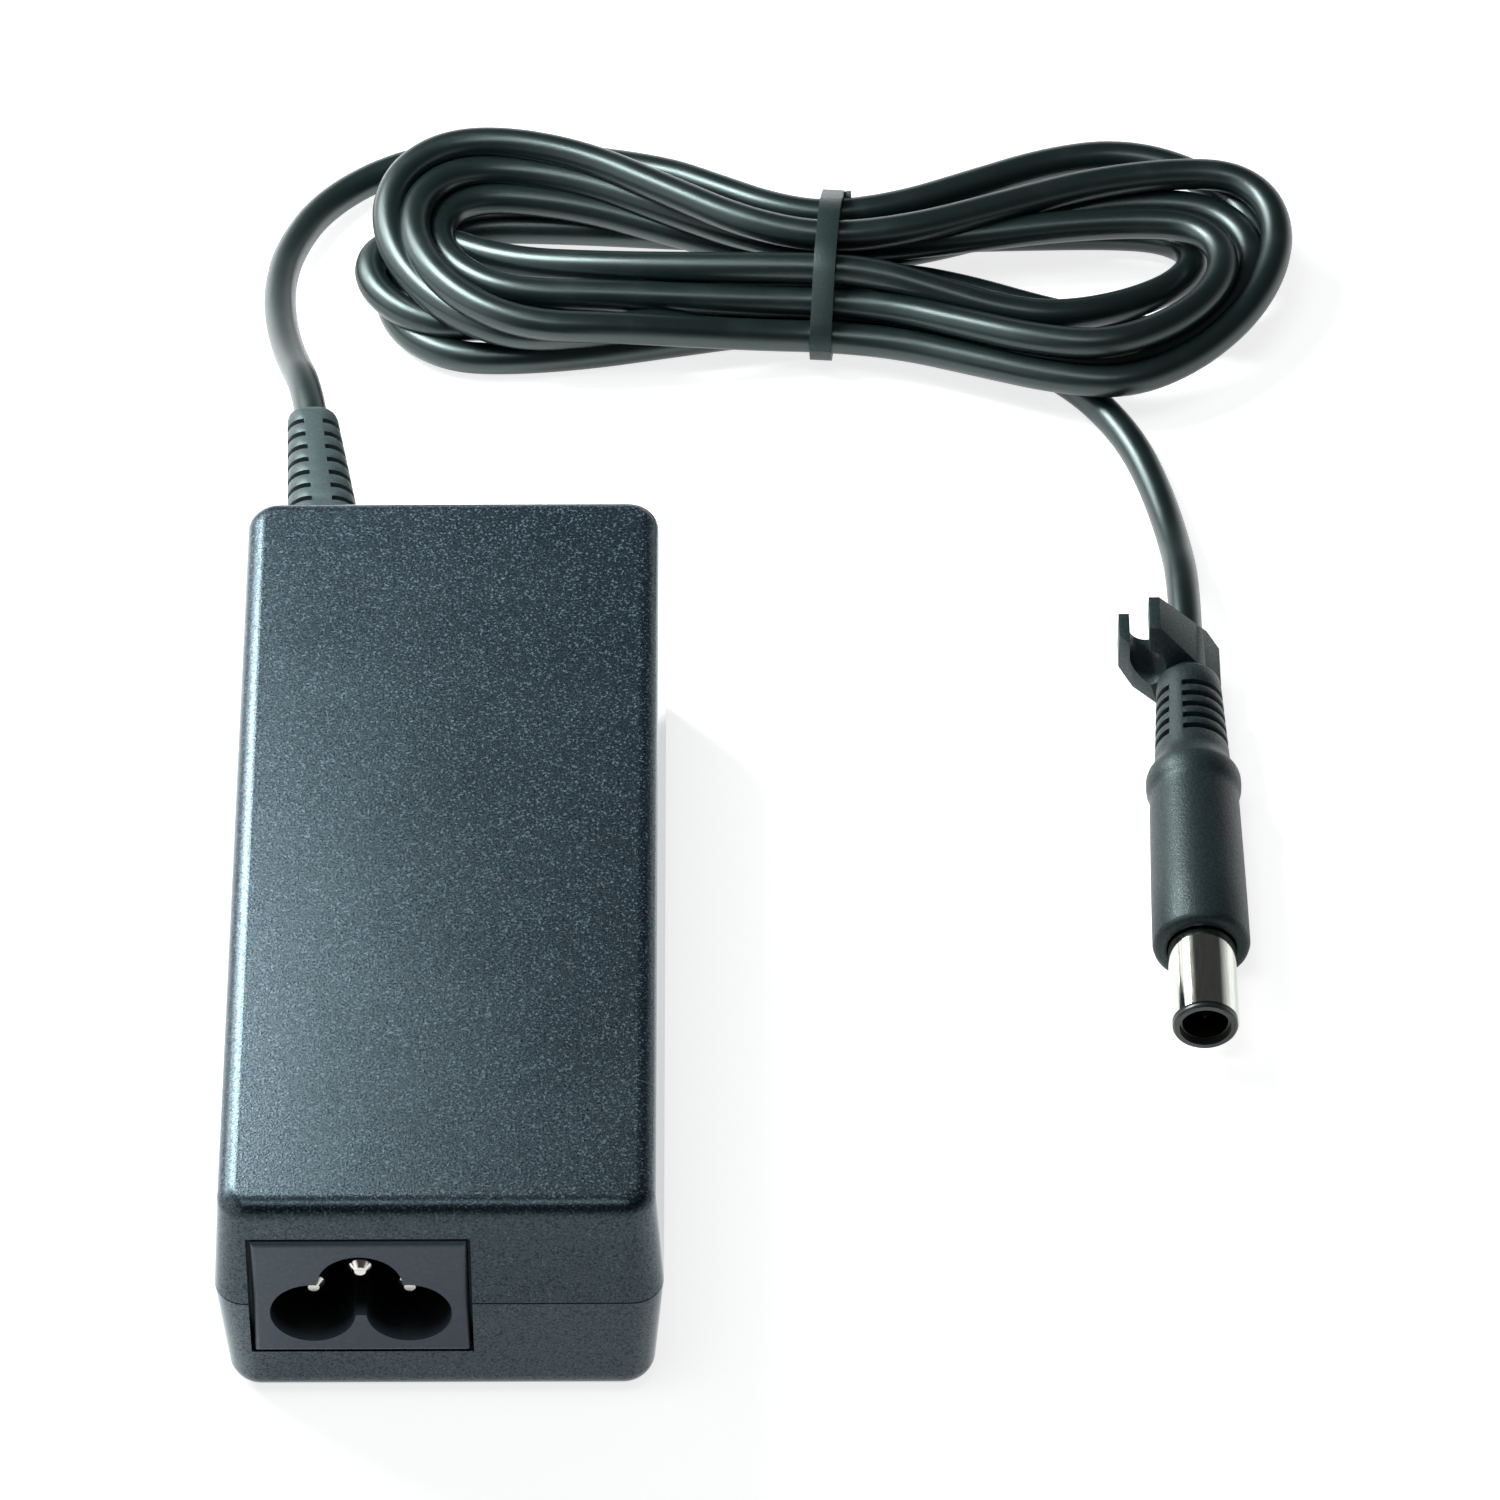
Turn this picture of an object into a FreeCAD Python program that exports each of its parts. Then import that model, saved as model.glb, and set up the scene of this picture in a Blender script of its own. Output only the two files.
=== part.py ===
import FreeCAD, Part
import math
import os
import Sketcher

# Laptop power adapter: a two-shell plastic brick with a three-pin mains inlet at the
# front, the power electronics inside, a ribbed boot at the rear, and a low-voltage cord
# that runs to a tied hank and on to a round barrel plug with a cord clip.
# Millimetres, +Z up, brick length along Y with the inlet at -Y. The origin is the middle
# of the brick's underside, on the table that everything lies on.

doc = FreeCAD.newDocument("power_adapter")
sheet = doc.addObject("Spreadsheet::Sheet", "sizes")
sheet_row = 0


class Size:
    """A length that knows its value and the sheet expression that gives it."""

    def __init__(self, value, text):
        self.value = float(value)
        self.text = text

    def __add__(self, other):
        other = as_size(other)
        return Size(self.value + other.value, f"({self.text} + {other.text})")

    def __sub__(self, other):
        other = as_size(other)
        return Size(self.value - other.value, f"({self.text} - {other.text})")

    def __mul__(self, other):
        other = as_size(other)
        return Size(self.value * other.value, f"({self.text} * {other.text})")

    def __truediv__(self, other):
        other = as_size(other)
        return Size(self.value / other.value, f"({self.text} / {other.text})")

    def __neg__(self):
        return Size(-self.value, f"(0 - {self.text})")

    def __radd__(self, other):
        return as_size(other) + self

    def __rsub__(self, other):
        return as_size(other) - self

    def __rmul__(self, other):
        return as_size(other) * self


def as_size(number):
    return number if isinstance(number, Size) else Size(number, f"{float(number):.6f}")


def size(alias, value):
    """Put one driving dimension into the sheet and return it as a Size."""
    global sheet_row
    sheet_row += 1
    sheet.set(f"A{sheet_row}", alias)
    sheet.set(f"B{sheet_row}", str(value))
    sheet.setAlias(f"B{sheet_row}", alias)
    sheet.recompute()
    return Size(sheet.get(alias), f"sizes.{alias}")


# Case
case_width = size("case_width", 46.7)
case_length = size("case_length", 105.0)
case_height = size("case_height", 30.0)
parting_height = size("parting_height", 15.9)
wall = size("wall", 2.2)
top_taper = size("top_taper", 0.85)
bottom_taper = size("bottom_taper", 1.2)
corner_radius = size("corner_radius", 3.4)
bottom_edge_radius = size("bottom_edge_radius", 3.2)
top_edge_radius = size("top_edge_radius", 2.0)
tongue_width = size("tongue_width", 0.9)
tongue_height = size("tongue_height", 1.2)
tongue_clearance = size("tongue_clearance", 0.15)

# Mains inlet
inlet_side_margin = size("inlet_side_margin", 4.05)
inlet_top_margin = size("inlet_top_margin", 4.9)
inlet_board_gap = size("inlet_board_gap", 1.1)
inlet_width = size("inlet_width", 22.4)
inlet_gap = size("inlet_gap", 0.4)
inlet_set_back = size("inlet_set_back", 0.3)
inlet_shoulder = size("inlet_shoulder", 0.9)
inlet_shoulder_thick = size("inlet_shoulder_thick", 1.6)
inlet_shoulder_set_in = size("inlet_shoulder_set_in", 0.95)
inlet_depth = size("inlet_depth", 18.0)
cavity_depth = size("cavity_depth", 13.0)
lobe_radius = size("lobe_radius", 4.45)
pin_spacing = size("pin_spacing", 10.0)
pin_row_drop = size("pin_row_drop", 2.4)
earth_rise = size("earth_rise", 4.4)
web_drop = size("web_drop", 0.35)
web_notch = size("web_notch", 4.6)
pin_diameter = size("pin_diameter", 2.4)
pin_recess = size("pin_recess", 3.5)
earth_pin_recess = size("earth_pin_recess", 1.9)
pin_tail = size("pin_tail", 3.0)
pin_root_step = size("pin_root_step", 0.2)
pin_root_gap = size("pin_root_gap", 0.3)
pin_clearance = size("pin_clearance", 0.05)

# Boot at the rear
boot_side_margin = size("boot_side_margin", 9.15)
boot_tip_shift = size("boot_tip_shift", 1.7)
boot_tip_drop = size("boot_tip_drop", 1.3)
boot_length = size("boot_length", 29.4)
boot_base_width = size("boot_base_width", 8.2)
boot_base_height = size("boot_base_height", 9.4)
boot_tip_width = size("boot_tip_width", 6.3)
boot_tip_height = size("boot_tip_height", 6.6)
boot_neck_width = size("boot_neck_width", 6.4)
boot_neck_height = size("boot_neck_height", 7.4)
boot_flange_width = size("boot_flange_width", 9.6)
boot_flange_height = size("boot_flange_height", 10.4)
boot_flange_thick = size("boot_flange_thick", 1.6)
boot_flange_set_in = size("boot_flange_set_in", 0.55)
boot_seat_gap = size("boot_seat_gap", 0.2)
boot_round = size("boot_round", 2.2)
boot_tip_round = size("boot_tip_round", 1.2)
boot_slot_count = size("boot_slot_count", 7)
boot_slot_width = size("boot_slot_width", 0.9)
boot_slot_pitch = size("boot_slot_pitch", 2.9)
boot_slot_start = size("boot_slot_start", 5.0)
boot_spine = size("boot_spine", 2.6)
boot_core = size("boot_core", 2.45)

# Cord, hank and tie
cord_diameter = size("cord_diameter", 3.7)
hank_centre_x = size("hank_centre_x", 42.3)
hank_centre_y = size("hank_centre_y", 112.5)
hank_waist_shift = size("hank_waist_shift", 0.5)
hank_half_run = size("hank_half_run", 36.0)
hank_outer_turn = size("hank_outer_turn", 16.8)
hank_turn_step = size("hank_turn_step", 5.45)
hank_waist_step = size("hank_waist_step", 5.1)
hank_layer_step = size("hank_layer_step", 4.6)
hank_waist_lift = size("hank_waist_lift", 1.15)
tie_width = size("tie_width", 3.2)
tie_thickness = size("tie_thickness", 0.8)
tie_front_reach = size("tie_front_reach", 13.4)
tie_rear_reach = size("tie_rear_reach", 13.6)
tie_inner_height = size("tie_inner_height", 14.0)
tie_round = size("tie_round", 3.0)

# Barrel plug and its grip
plug_axis_x = size("plug_axis_x", 81.6)
plug_face_y = size("plug_face_y", 6.4)
grip_front_radius = size("grip_front_radius", 5.35)
grip_rear_radius = size("grip_rear_radius", 4.95)
grip_length = size("grip_length", 23.6)
grip_edge = size("grip_edge", 0.7)
collar_radius = size("collar_radius", 5.25)
collar_length = size("collar_length", 4.4)
neck_front_radius = size("neck_front_radius", 4.2)
neck_rear_radius = size("neck_rear_radius", 3.45)
neck_length = size("neck_length", 19.8)
grip_slot_count = size("grip_slot_count", 5)
grip_slot_width = size("grip_slot_width", 0.75)
grip_slot_pitch = size("grip_slot_pitch", 1.75)
grip_slot_start = size("grip_slot_start", 1.6)
grip_spine = size("grip_spine", 1.8)
grip_core = size("grip_core", 2.5)
clip_length = size("clip_length", 7.8)
clip_left = size("clip_left", 7.7)
clip_right = size("clip_right", 3.7)
clip_bottom = size("clip_bottom", 3.0)
clip_jaw_bottom = size("clip_jaw_bottom", 1.4)
clip_low_jaw = size("clip_low_jaw", 3.45)
clip_high_jaw = size("clip_high_jaw", 6.1)
clip_jaw_width = size("clip_jaw_width", 1.6)
clip_tip_width = size("clip_tip_width", 0.8)
clip_slope_end = size("clip_slope_end", 0.3)
clip_offset = size("clip_offset", 4.1)
clip_rise = size("clip_rise", 1.3)
clip_bore = size("clip_bore", 4.0)
clip_left_length = size("clip_left_length", 2.2)
barrel_diameter = size("barrel_diameter", 7.4)
barrel_wall = size("barrel_wall", 0.45)
barrel_length = size("barrel_length", 11.4)
barrel_root = size("barrel_root", 8.0)
barrel_root_step = size("barrel_root_step", 0.2)
barrel_root_gap = size("barrel_root_gap", 0.3)
tip_ring_length = size("tip_ring_length", 0.6)
tip_ring_diameter = size("tip_ring_diameter", 7.05)
insulator_wall = size("insulator_wall", 0.4)
inner_sleeve_wall = size("inner_sleeve_wall", 0.25)
inner_sleeve_recess = size("inner_sleeve_recess", 0.8)
inner_sleeve_root = size("inner_sleeve_root", 5.0)
centre_pin_diameter = size("centre_pin_diameter", 0.8)
centre_pin_recess = size("centre_pin_recess", 1.6)
plug_core_front = size("plug_core_front", 1.5)
plug_fit = size("plug_fit", 0.05)
inner_mould_diameter = size("inner_mould_diameter", 6.2)
inner_mould_length = size("inner_mould_length", 11.0)

# Board, shield and heatsinks
board_side_clearance = size("board_side_clearance", 2.65)
board_front_clearance = size("board_front_clearance", 3.8)
board_rear_clearance = size("board_rear_clearance", 2.8)
board_thick = size("board_thick", 1.6)
board_height = size("board_height", 5.2)
board_hole = size("board_hole", 2.2)
post_diameter = size("post_diameter", 4.0)
seat_gap = size("seat_gap", 0.1)
film_thick = size("film_thick", 0.3)
film_gap = size("film_gap", 0.15)
shield_thick = size("shield_thick", 0.5)
shield_side_clearance = size("shield_side_clearance", 1.55)
shield_front_clearance = size("shield_front_clearance", 16.5)
ceiling_gap = size("ceiling_gap", 0.25)
heatsink_side_gap = size("heatsink_side_gap", 0.45)
heatsink_head_room = size("heatsink_head_room", 2.2)
heatsink_thick = size("heatsink_thick", 1.5)
secondary_length = size("secondary_length", 20.0)
pad_thick = size("pad_thick", 0.3)
tab_thick = size("tab_thick", 1.3)
tab_head_room = size("tab_head_room", 2.0)
tab_above_package = size("tab_above_package", 6.5)
package_thick = size("package_thick", 3.2)
package_width = size("package_width", 10.0)
screw_diameter = size("screw_diameter", 2.9)
screw_head = size("screw_head", 5.4)
screw_head_thick = size("screw_head_thick", 1.8)

# Components
part_gap = size("part_gap", 0.9)
edge_gap = size("edge_gap", 0.6)
body_lift = size("body_lift", 0.2)
standing_lift = size("standing_lift", 0.8)
leg_diameter = size("leg_diameter", 0.8)
leg_length = size("leg_length", 1.6)
leg_pitch = size("leg_pitch", 5.0)
lead_diameter = size("lead_diameter", 1.2)
fuse_diameter = size("fuse_diameter", 5.4)
fuse_length = size("fuse_length", 15.0)
fuse_cap_length = size("fuse_cap_length", 3.0)
x_capacitor_length = size("x_capacitor_length", 13.0)
x_capacitor_height = size("x_capacitor_height", 11.0)
varistor_diameter = size("varistor_diameter", 9.0)
varistor_thick = size("varistor_thick", 3.6)
bridge_thick = size("bridge_thick", 3.4)
bridge_height = size("bridge_height", 10.5)
choke_winding_span = size("choke_winding_span", 6.6)
choke_wire_layer = size("choke_wire_layer", 1.3)
choke_height = size("choke_height", 7.0)
filter_choke_diameter = size("filter_choke_diameter", 9.0)
filter_choke_height = size("filter_choke_height", 12.0)
y_capacitor_diameter = size("y_capacitor_diameter", 7.4)
y_capacitor_thick = size("y_capacitor_thick", 3.0)
chip_width = size("chip_width", 5.0)
chip_length = size("chip_length", 6.0)
chip_thick = size("chip_thick", 1.5)
optocoupler_width = size("optocoupler_width", 4.6)
optocoupler_length = size("optocoupler_length", 6.4)
optocoupler_height = size("optocoupler_height", 3.6)
core_x = size("core_x", -2.2)
core_share = size("core_share", 0.65)
core_depth = size("core_depth", 10.0)
core_head_room = size("core_head_room", 1.9)
leg_share = size("leg_share", 0.29)
side_leg_share = size("side_leg_share", 0.146)
bobbin_wall = size("bobbin_wall", 0.7)
can_share = size("can_share", 0.43)
can_right_x = size("can_right_x", 5.2)
can_height = size("can_height", 14.0)
output_choke_share = size("output_choke_share", 0.36)
output_choke_height = size("output_choke_height", 10.0)
dc_lead_diameter = size("dc_lead_diameter", 1.8)
dc_lead_spread = size("dc_lead_spread", 1.1)
dc_lead_inset = size("dc_lead_inset", 2.6)

sheet.recompute()

case_rear_y = case_length / 2
case_front_y = -case_length / 2
board_width = case_width - (wall + board_side_clearance) * 2
board_edge = board_width / 2
board_front = case_front_y + wall + board_front_clearance
board_rear = case_rear_y - wall - board_rear_clearance
board_top = board_height + board_thick
inlet_bottom = board_top + inlet_board_gap
inlet_top = case_height - inlet_top_margin
inlet_height = inlet_top - inlet_bottom
inlet_centre_height = (inlet_top + inlet_bottom) / 2
inlet_centre_x = -case_width / 2 + inlet_side_margin + inlet_width / 2
boot_centre_x = -case_width / 2 + boot_side_margin
shield_half_width = case_width / 2 - wall - shield_side_clearance
shield_front = board_front + shield_front_clearance
shield_top = case_height - wall - ceiling_gap
film_roof = shield_top - shield_thick - film_gap - film_thick
film_inner = shield_half_width - shield_thick - film_gap - film_thick
heatsink_x = film_inner - heatsink_side_gap - heatsink_thick / 2
heatsink_height = film_roof - heatsink_head_room - board_top - seat_gap
plug_axis_height = grip_front_radius
subparts = []


def bind(target, places):
    """Bind properties of an object to sizes."""
    for name, number in places.items():
        target.setExpression(name, as_size(number).text)


def move(target, x=0.0, y=0.0, z=0.0):
    bind(target, {"Placement.Base.x": x, "Placement.Base.y": y, "Placement.Base.z": z})


def keep(target, name):
    """Name a finished sub-part and list it for export."""
    target.Label = name
    subparts.append(target)
    return target


# Helpers for bodies made of sketches and features

def new_body(name):
    return doc.addObject("PartDesign::Body", name + "_body")


def origin_plane(body, role):
    return next(plane for plane in body.Origin.OriginFeatures if plane.Role == role)


def new_sketch(body, role, name, lift=0.0):
    sketch = body.newObject("Sketcher::SketchObject", name)
    sketch.AttachmentSupport = [(origin_plane(body, role), "")]
    sketch.MapMode = "FlatFace"
    bind(sketch, {"AttachmentOffset.Base.z": lift})
    return sketch


def fix_point(sketch, geometry, position, x, y):
    """Tie one sketch point to sizes measured from the sketch's origin."""
    for kind, axis, number in (("DistanceX", -2, x), ("DistanceY", -1, y)):
        number = as_size(number)
        if abs(number.value) < 1e-9:
            sketch.addConstraint(Sketcher.Constraint("PointOnObject", geometry, position, axis))
            continue
        index = sketch.addConstraint(
            Sketcher.Constraint(kind, -1, 1, geometry, position, number.value))
        sketch.setExpression(f"Constraints[{index}]", number.text)


def draw_outline(sketch, corners):
    """A closed outline of straight lines through corners given as sizes."""
    first = sketch.GeometryCount
    count = len(corners)
    points = [FreeCAD.Vector(as_size(x).value, as_size(y).value, 0) for x, y in corners]
    for index in range(count):
        sketch.addGeometry(Part.LineSegment(points[index], points[(index + 1) % count]), False)
    for index in range(count):
        following = first + (index + 1) % count
        sketch.addConstraint(Sketcher.Constraint("Coincident", first + index, 2, following, 1))
    for index, (x, y) in enumerate(corners):
        fix_point(sketch, first + index, 1, x, y)


def draw_rectangle(sketch, left, bottom, right, top):
    draw_outline(sketch, [(left, bottom), (right, bottom), (right, top), (left, top)])


def draw_centred_rectangle(sketch, width, depth, x=0.0, y=0.0):
    x, y = as_size(x), as_size(y)
    draw_rectangle(sketch, x - width / 2, y - depth / 2, x + width / 2, y + depth / 2)


def draw_rounded(sketch, width, height, x, y, radius):
    """A rectangle with round corners, every line end and arc tied to sizes."""
    first = sketch.GeometryCount
    half_w, half_h, x, y = as_size(width) / 2, as_size(height) / 2, as_size(x), as_size(y)
    corners = []
    for side_x, side_y in ((1, -1), (1, 1), (-1, 1), (-1, -1)):
        centre_x = x + (half_w - radius) * side_x
        centre_y = y + (half_h - radius) * side_y
        flat = (centre_x, centre_y + as_size(radius) * side_y)
        upright = (centre_x + as_size(radius) * side_x, centre_y)
        turn = (flat, upright) if side_x * side_y < 0 else (upright, flat)
        corners.append((turn[0], turn[1], centre_x, centre_y))
    middle = FreeCAD.Vector(0, 0, 1)
    for index, (start, end, centre_x, centre_y) in enumerate(corners):
        circle = Part.Circle(FreeCAD.Vector(centre_x.value, centre_y.value, 0), middle, radius.value)
        angle = math.pi / 2 * (index - 1)
        sketch.addGeometry(Part.ArcOfCircle(circle, angle, angle + math.pi / 2), False)
        following = corners[(index + 1) % 4][0]
        sketch.addGeometry(Part.LineSegment(
            FreeCAD.Vector(end[0].value, end[1].value, 0),
            FreeCAD.Vector(following[0].value, following[1].value, 0)), False)
    for index, (start, end, centre_x, centre_y) in enumerate(corners):
        arc = first + 2 * index
        line = arc + 1
        following = first + (2 * index + 2) % 8
        sketch.addConstraint(Sketcher.Constraint("Coincident", arc, 2, line, 1))
        sketch.addConstraint(Sketcher.Constraint("Coincident", line, 2, following, 1))
        fix_point(sketch, arc, 1, start[0], start[1])
        fix_point(sketch, arc, 2, end[0], end[1])
        bend = sketch.addConstraint(Sketcher.Constraint("Radius", arc, radius.value))
        sketch.setExpression(f"Constraints[{bend}]", radius.text)


def draw_circle(sketch, x, y, radius):
    centre = FreeCAD.Vector(as_size(x).value, as_size(y).value, 0)
    circle = Part.Circle(centre, FreeCAD.Vector(0, 0, 1), as_size(radius).value)
    geometry = sketch.addGeometry(circle, False)
    fix_point(sketch, geometry, 3, x, y)
    index = sketch.addConstraint(Sketcher.Constraint("Radius", geometry, as_size(radius).value))
    sketch.setExpression(f"Constraints[{index}]", as_size(radius).text)


def pad(body, sketch, length, backwards=False):
    feature = body.newObject("PartDesign::Pad", sketch.Name + "_pad")
    feature.Profile = sketch
    feature.Reversed = backwards
    bind(feature, {"Length": length})
    return feature


def pocket(body, sketch, length, backwards=False):
    feature = body.newObject("PartDesign::Pocket", sketch.Name + "_pocket")
    feature.Profile = sketch
    feature.Reversed = backwards
    bind(feature, {"Length": length})
    return feature


def loft(body, kind, sketches):
    feature = body.newObject("PartDesign::" + kind, sketches[0].Name + "_loft")
    feature.Profile = sketches[0]
    feature.Sections = sketches[1:]
    feature.Ruled = True
    return feature


def round_edges(body, radius, chosen):
    """Fillet the edges of the body's tip that the test picks."""
    doc.recompute()
    base = body.Tip
    names = [f"Edge{index + 1}" for index, edge in enumerate(base.Shape.Edges) if chosen(edge)]
    feature = body.newObject("PartDesign::Fillet", body.Name + "_fillet")
    feature.Base = (base, names)
    bind(feature, {"Radius": radius})
    return feature


def repeat_along(body, features, role, axis_sketch, length, count):
    """A row of copies of a feature along an axis of a sketch."""
    pattern = body.newObject("PartDesign::LinearPattern", features[-1].Name + "_row")
    pattern.Originals = features
    pattern.Direction = (axis_sketch, [role])
    bind(pattern, {"Length": length, "Occurrences": count})
    body.Tip = pattern
    return pattern


def is_upright(edge):
    first, last = edge.Vertexes[0].Point, edge.Vertexes[-1].Point
    return abs(first.z - last.z) > 0.8 * edge.Length


def lies_at(edge, height):
    return all(abs(vertex.Z - height) < 1e-4 for vertex in edge.Vertexes)


# Helpers for plain primitives and booleans

def block(name, x_size, y_size, z_size, x, y, z):
    """A box given by its sizes, the middle of its plan and its underside."""
    box = doc.addObject("Part::Box", name)
    x_size, y_size = as_size(x_size), as_size(y_size)
    bind(box, {"Length": x_size, "Width": y_size, "Height": z_size})
    move(box, as_size(x) - x_size / 2, as_size(y) - y_size / 2, z)
    return box


AXES = {"x": (0, 1, 0, 90), "y": (1, 0, 0, -90), "z": (0, 0, 1, 0)}


def rod(name, diameter, length, axis, x, y, z):
    """A cylinder that starts at a point and runs along +X, +Y or +Z."""
    cylinder = doc.addObject("Part::Cylinder", name)
    ax, ay, az, angle = AXES[axis]
    cylinder.Placement.Rotation = FreeCAD.Rotation(FreeCAD.Vector(ax, ay, az), angle)
    bind(cylinder, {"Radius": as_size(diameter) / 2, "Height": length})
    move(cylinder, x, y, z)
    return cylinder


def cut(name, base, tool):
    feature = doc.addObject("Part::Cut", name)
    feature.Base = base
    feature.Tool = tool
    return feature


def fuse(name, pieces):
    feature = doc.addObject("Part::MultiFuse", name)
    feature.Shapes = pieces
    return feature


# Lower and upper shells

def shell_body(name, bottom, top, inset, taper, widening):
    """A drafted, rounded half of the case between two heights."""
    body = new_body(name)
    section = new_sketch(body, "XY_Plane", f"{name}_outline", bottom)
    draw_centred_rectangle(section, case_width - inset * 2, case_length - inset * 2)
    pad(body, section, top - bottom)
    doc.recompute()
    straight = body.Tip
    sides = []
    under = []
    for index, face in enumerate(straight.Shape.Faces):
        if abs(face.normalAt(0, 0).z) < 0.5:
            sides.append(f"Face{index + 1}")
        elif face.CenterOfMass.z < (as_size(bottom).value + as_size(top).value) / 2:
            under.append(f"Face{index + 1}")
    drafted = body.newObject("PartDesign::Draft", f"{name}_draft")
    drafted.Base = (straight, sides)
    drafted.NeutralPlane = (straight, under)
    drafted.Reversed = widening
    rise = as_size(top) - bottom
    drafted.setExpression("Angle", f"atan({as_size(taper).text} / {rise.text})")
    round_edges(body, corner_radius, is_upright)
    return body


def hollow(body, name, start, stop, start_inset, stop_inset):
    """Take out the inside between two heights with a tapered loft."""
    sections = []
    for label, lift, inset in (("start", start, start_inset), ("stop", stop, stop_inset)):
        section = new_sketch(body, "XY_Plane", f"{name}_hollow_{label}", lift)
        draw_centred_rectangle(section, case_width - inset * 2, case_length - inset * 2)
        sections.append(section)
    loft(body, "SubtractiveLoft", sections)


def open_front_and_rear(body, name):
    """Openings for the inlet in the front wall and the boot's neck in the rear wall."""
    front = new_sketch(body, "XZ_Plane", f"{name}_inlet_opening", case_length / 2 + 1)
    draw_centred_rectangle(front, inlet_width + inlet_gap * 2, inlet_height + inlet_gap * 2,
                           inlet_centre_x, inlet_centre_height)
    pocket(body, front, wall + top_taper + 2)
    rear = new_sketch(body, "XZ_Plane", f"{name}_boot_opening", -case_length / 2 - 1)
    draw_centred_rectangle(rear, boot_neck_width + boot_seat_gap, boot_neck_height + boot_seat_gap,
                           boot_centre_x, parting_height)
    pocket(body, rear, wall + top_taper + 2, backwards=True)


lower = shell_body("lower_shell", as_size(0), parting_height, bottom_taper, bottom_taper, True)
round_edges(lower, bottom_edge_radius, lambda edge: lies_at(edge, 0))
hollow(lower, "lower", wall, parting_height, wall + bottom_taper, wall)

tongue = new_sketch(lower, "XY_Plane", "tongue", parting_height)
draw_centred_rectangle(tongue, case_width - wall * 2 + tongue_width * 2,
                       case_length - wall * 2 + tongue_width * 2)
draw_centred_rectangle(tongue, case_width - wall * 2, case_length - wall * 2)
pad(lower, tongue, tongue_height)

posts = new_sketch(lower, "XY_Plane", "board_posts", wall - 0.1)
post_x = board_width / 2 - post_diameter / 2 - 1
for post_side in (-1, 1):
    for post_y in (board_front + post_diameter, board_rear - post_diameter):
        draw_circle(posts, post_x * post_side, post_y, post_diameter / 2)
pad(lower, posts, board_height - wall + 0.1)
open_front_and_rear(lower, "lower")
keep(lower, "case_bottom_shell")

upper = shell_body("upper_shell", parting_height, case_height, as_size(0), top_taper, False)
round_edges(upper, top_edge_radius, lambda edge: lies_at(edge, case_height.value))
hollow(upper, "upper", parting_height, case_height - wall, wall, wall + top_taper)
groove = new_sketch(upper, "XY_Plane", "groove", parting_height)
groove_width = tongue_width + tongue_clearance
draw_centred_rectangle(groove, case_width - wall * 2 + groove_width * 2,
                       case_length - wall * 2 + groove_width * 2)
draw_centred_rectangle(groove, case_width - wall * 2 - 1, case_length - wall * 2 - 1)
pocket(upper, groove, tongue_height + tongue_clearance, backwards=True)
open_front_and_rear(upper, "upper")
keep(upper, "case_top_shell")


# Mains inlet: a moulded socket with a three-lobed well and three round pins

inlet_face_y = case_front_y + inlet_set_back
pin_row_height = inlet_centre_height - pin_row_drop
pin_root_radius = pin_diameter / 2 - pin_root_step
pin_root_y = inlet_face_y + cavity_depth - pin_root_gap
pin_end_y = inlet_face_y + inlet_depth + pin_tail

inlet = new_body("inlet")
inlet_frame = new_sketch(inlet, "XZ_Plane", "inlet_frame", -inlet_face_y)
draw_centred_rectangle(inlet_frame, inlet_width, inlet_height, inlet_centre_x, inlet_centre_height)
pad(inlet, inlet_frame, inlet_depth, backwards=True)
inlet_back = new_sketch(inlet, "XZ_Plane", "inlet_shoulder_outline",
                        -(case_front_y + wall + inlet_shoulder_set_in))
draw_centred_rectangle(inlet_back, inlet_width + inlet_shoulder * 2,
                       inlet_height + inlet_shoulder * 2, inlet_centre_x, inlet_centre_height)
pad(inlet, inlet_back, inlet_shoulder_thick, backwards=True)
round_edges(inlet, 0.6, lambda edge: edge.Length > 10 and all(
    abs(vertex.Y - inlet_face_y.value) < 1e-4 for vertex in edge.Vertexes))
lower_lobes = new_sketch(inlet, "XZ_Plane", "lower_lobes", -inlet_face_y)
for lobe_side in (-1, 1):
    draw_circle(lower_lobes, inlet_centre_x + pin_spacing / 2 * lobe_side, pin_row_height, lobe_radius)
pocket(inlet, lower_lobes, cavity_depth)
upper_lobe = new_sketch(inlet, "XZ_Plane", "upper_lobe", -inlet_face_y)
draw_circle(upper_lobe, inlet_centre_x, pin_row_height + earth_rise, lobe_radius)
pocket(inlet, upper_lobe, cavity_depth)
web_cut = new_sketch(inlet, "XZ_Plane", "web_cut", -inlet_face_y)
draw_rectangle(web_cut, inlet_centre_x - web_notch / 2, pin_row_height - web_drop,
               inlet_centre_x + web_notch / 2, pin_row_height + earth_rise)
pocket(inlet, web_cut, cavity_depth)
pin_holes = new_sketch(inlet, "XZ_Plane", "pin_holes", -(inlet_face_y + cavity_depth - 1))
pin_places = {
    "inlet_line_pin": (inlet_centre_x - pin_spacing / 2, pin_row_height, pin_recess),
    "inlet_neutral_pin": (inlet_centre_x + pin_spacing / 2, pin_row_height, pin_recess),
    "inlet_earth_pin": (inlet_centre_x, pin_row_height + earth_rise, earth_pin_recess),
}
for pin_x, pin_z, recess in pin_places.values():
    draw_circle(pin_holes, pin_x, pin_z, pin_root_radius + pin_clearance)
pocket(inlet, pin_holes, inlet_depth)
keep(inlet, "inlet_body")

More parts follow.
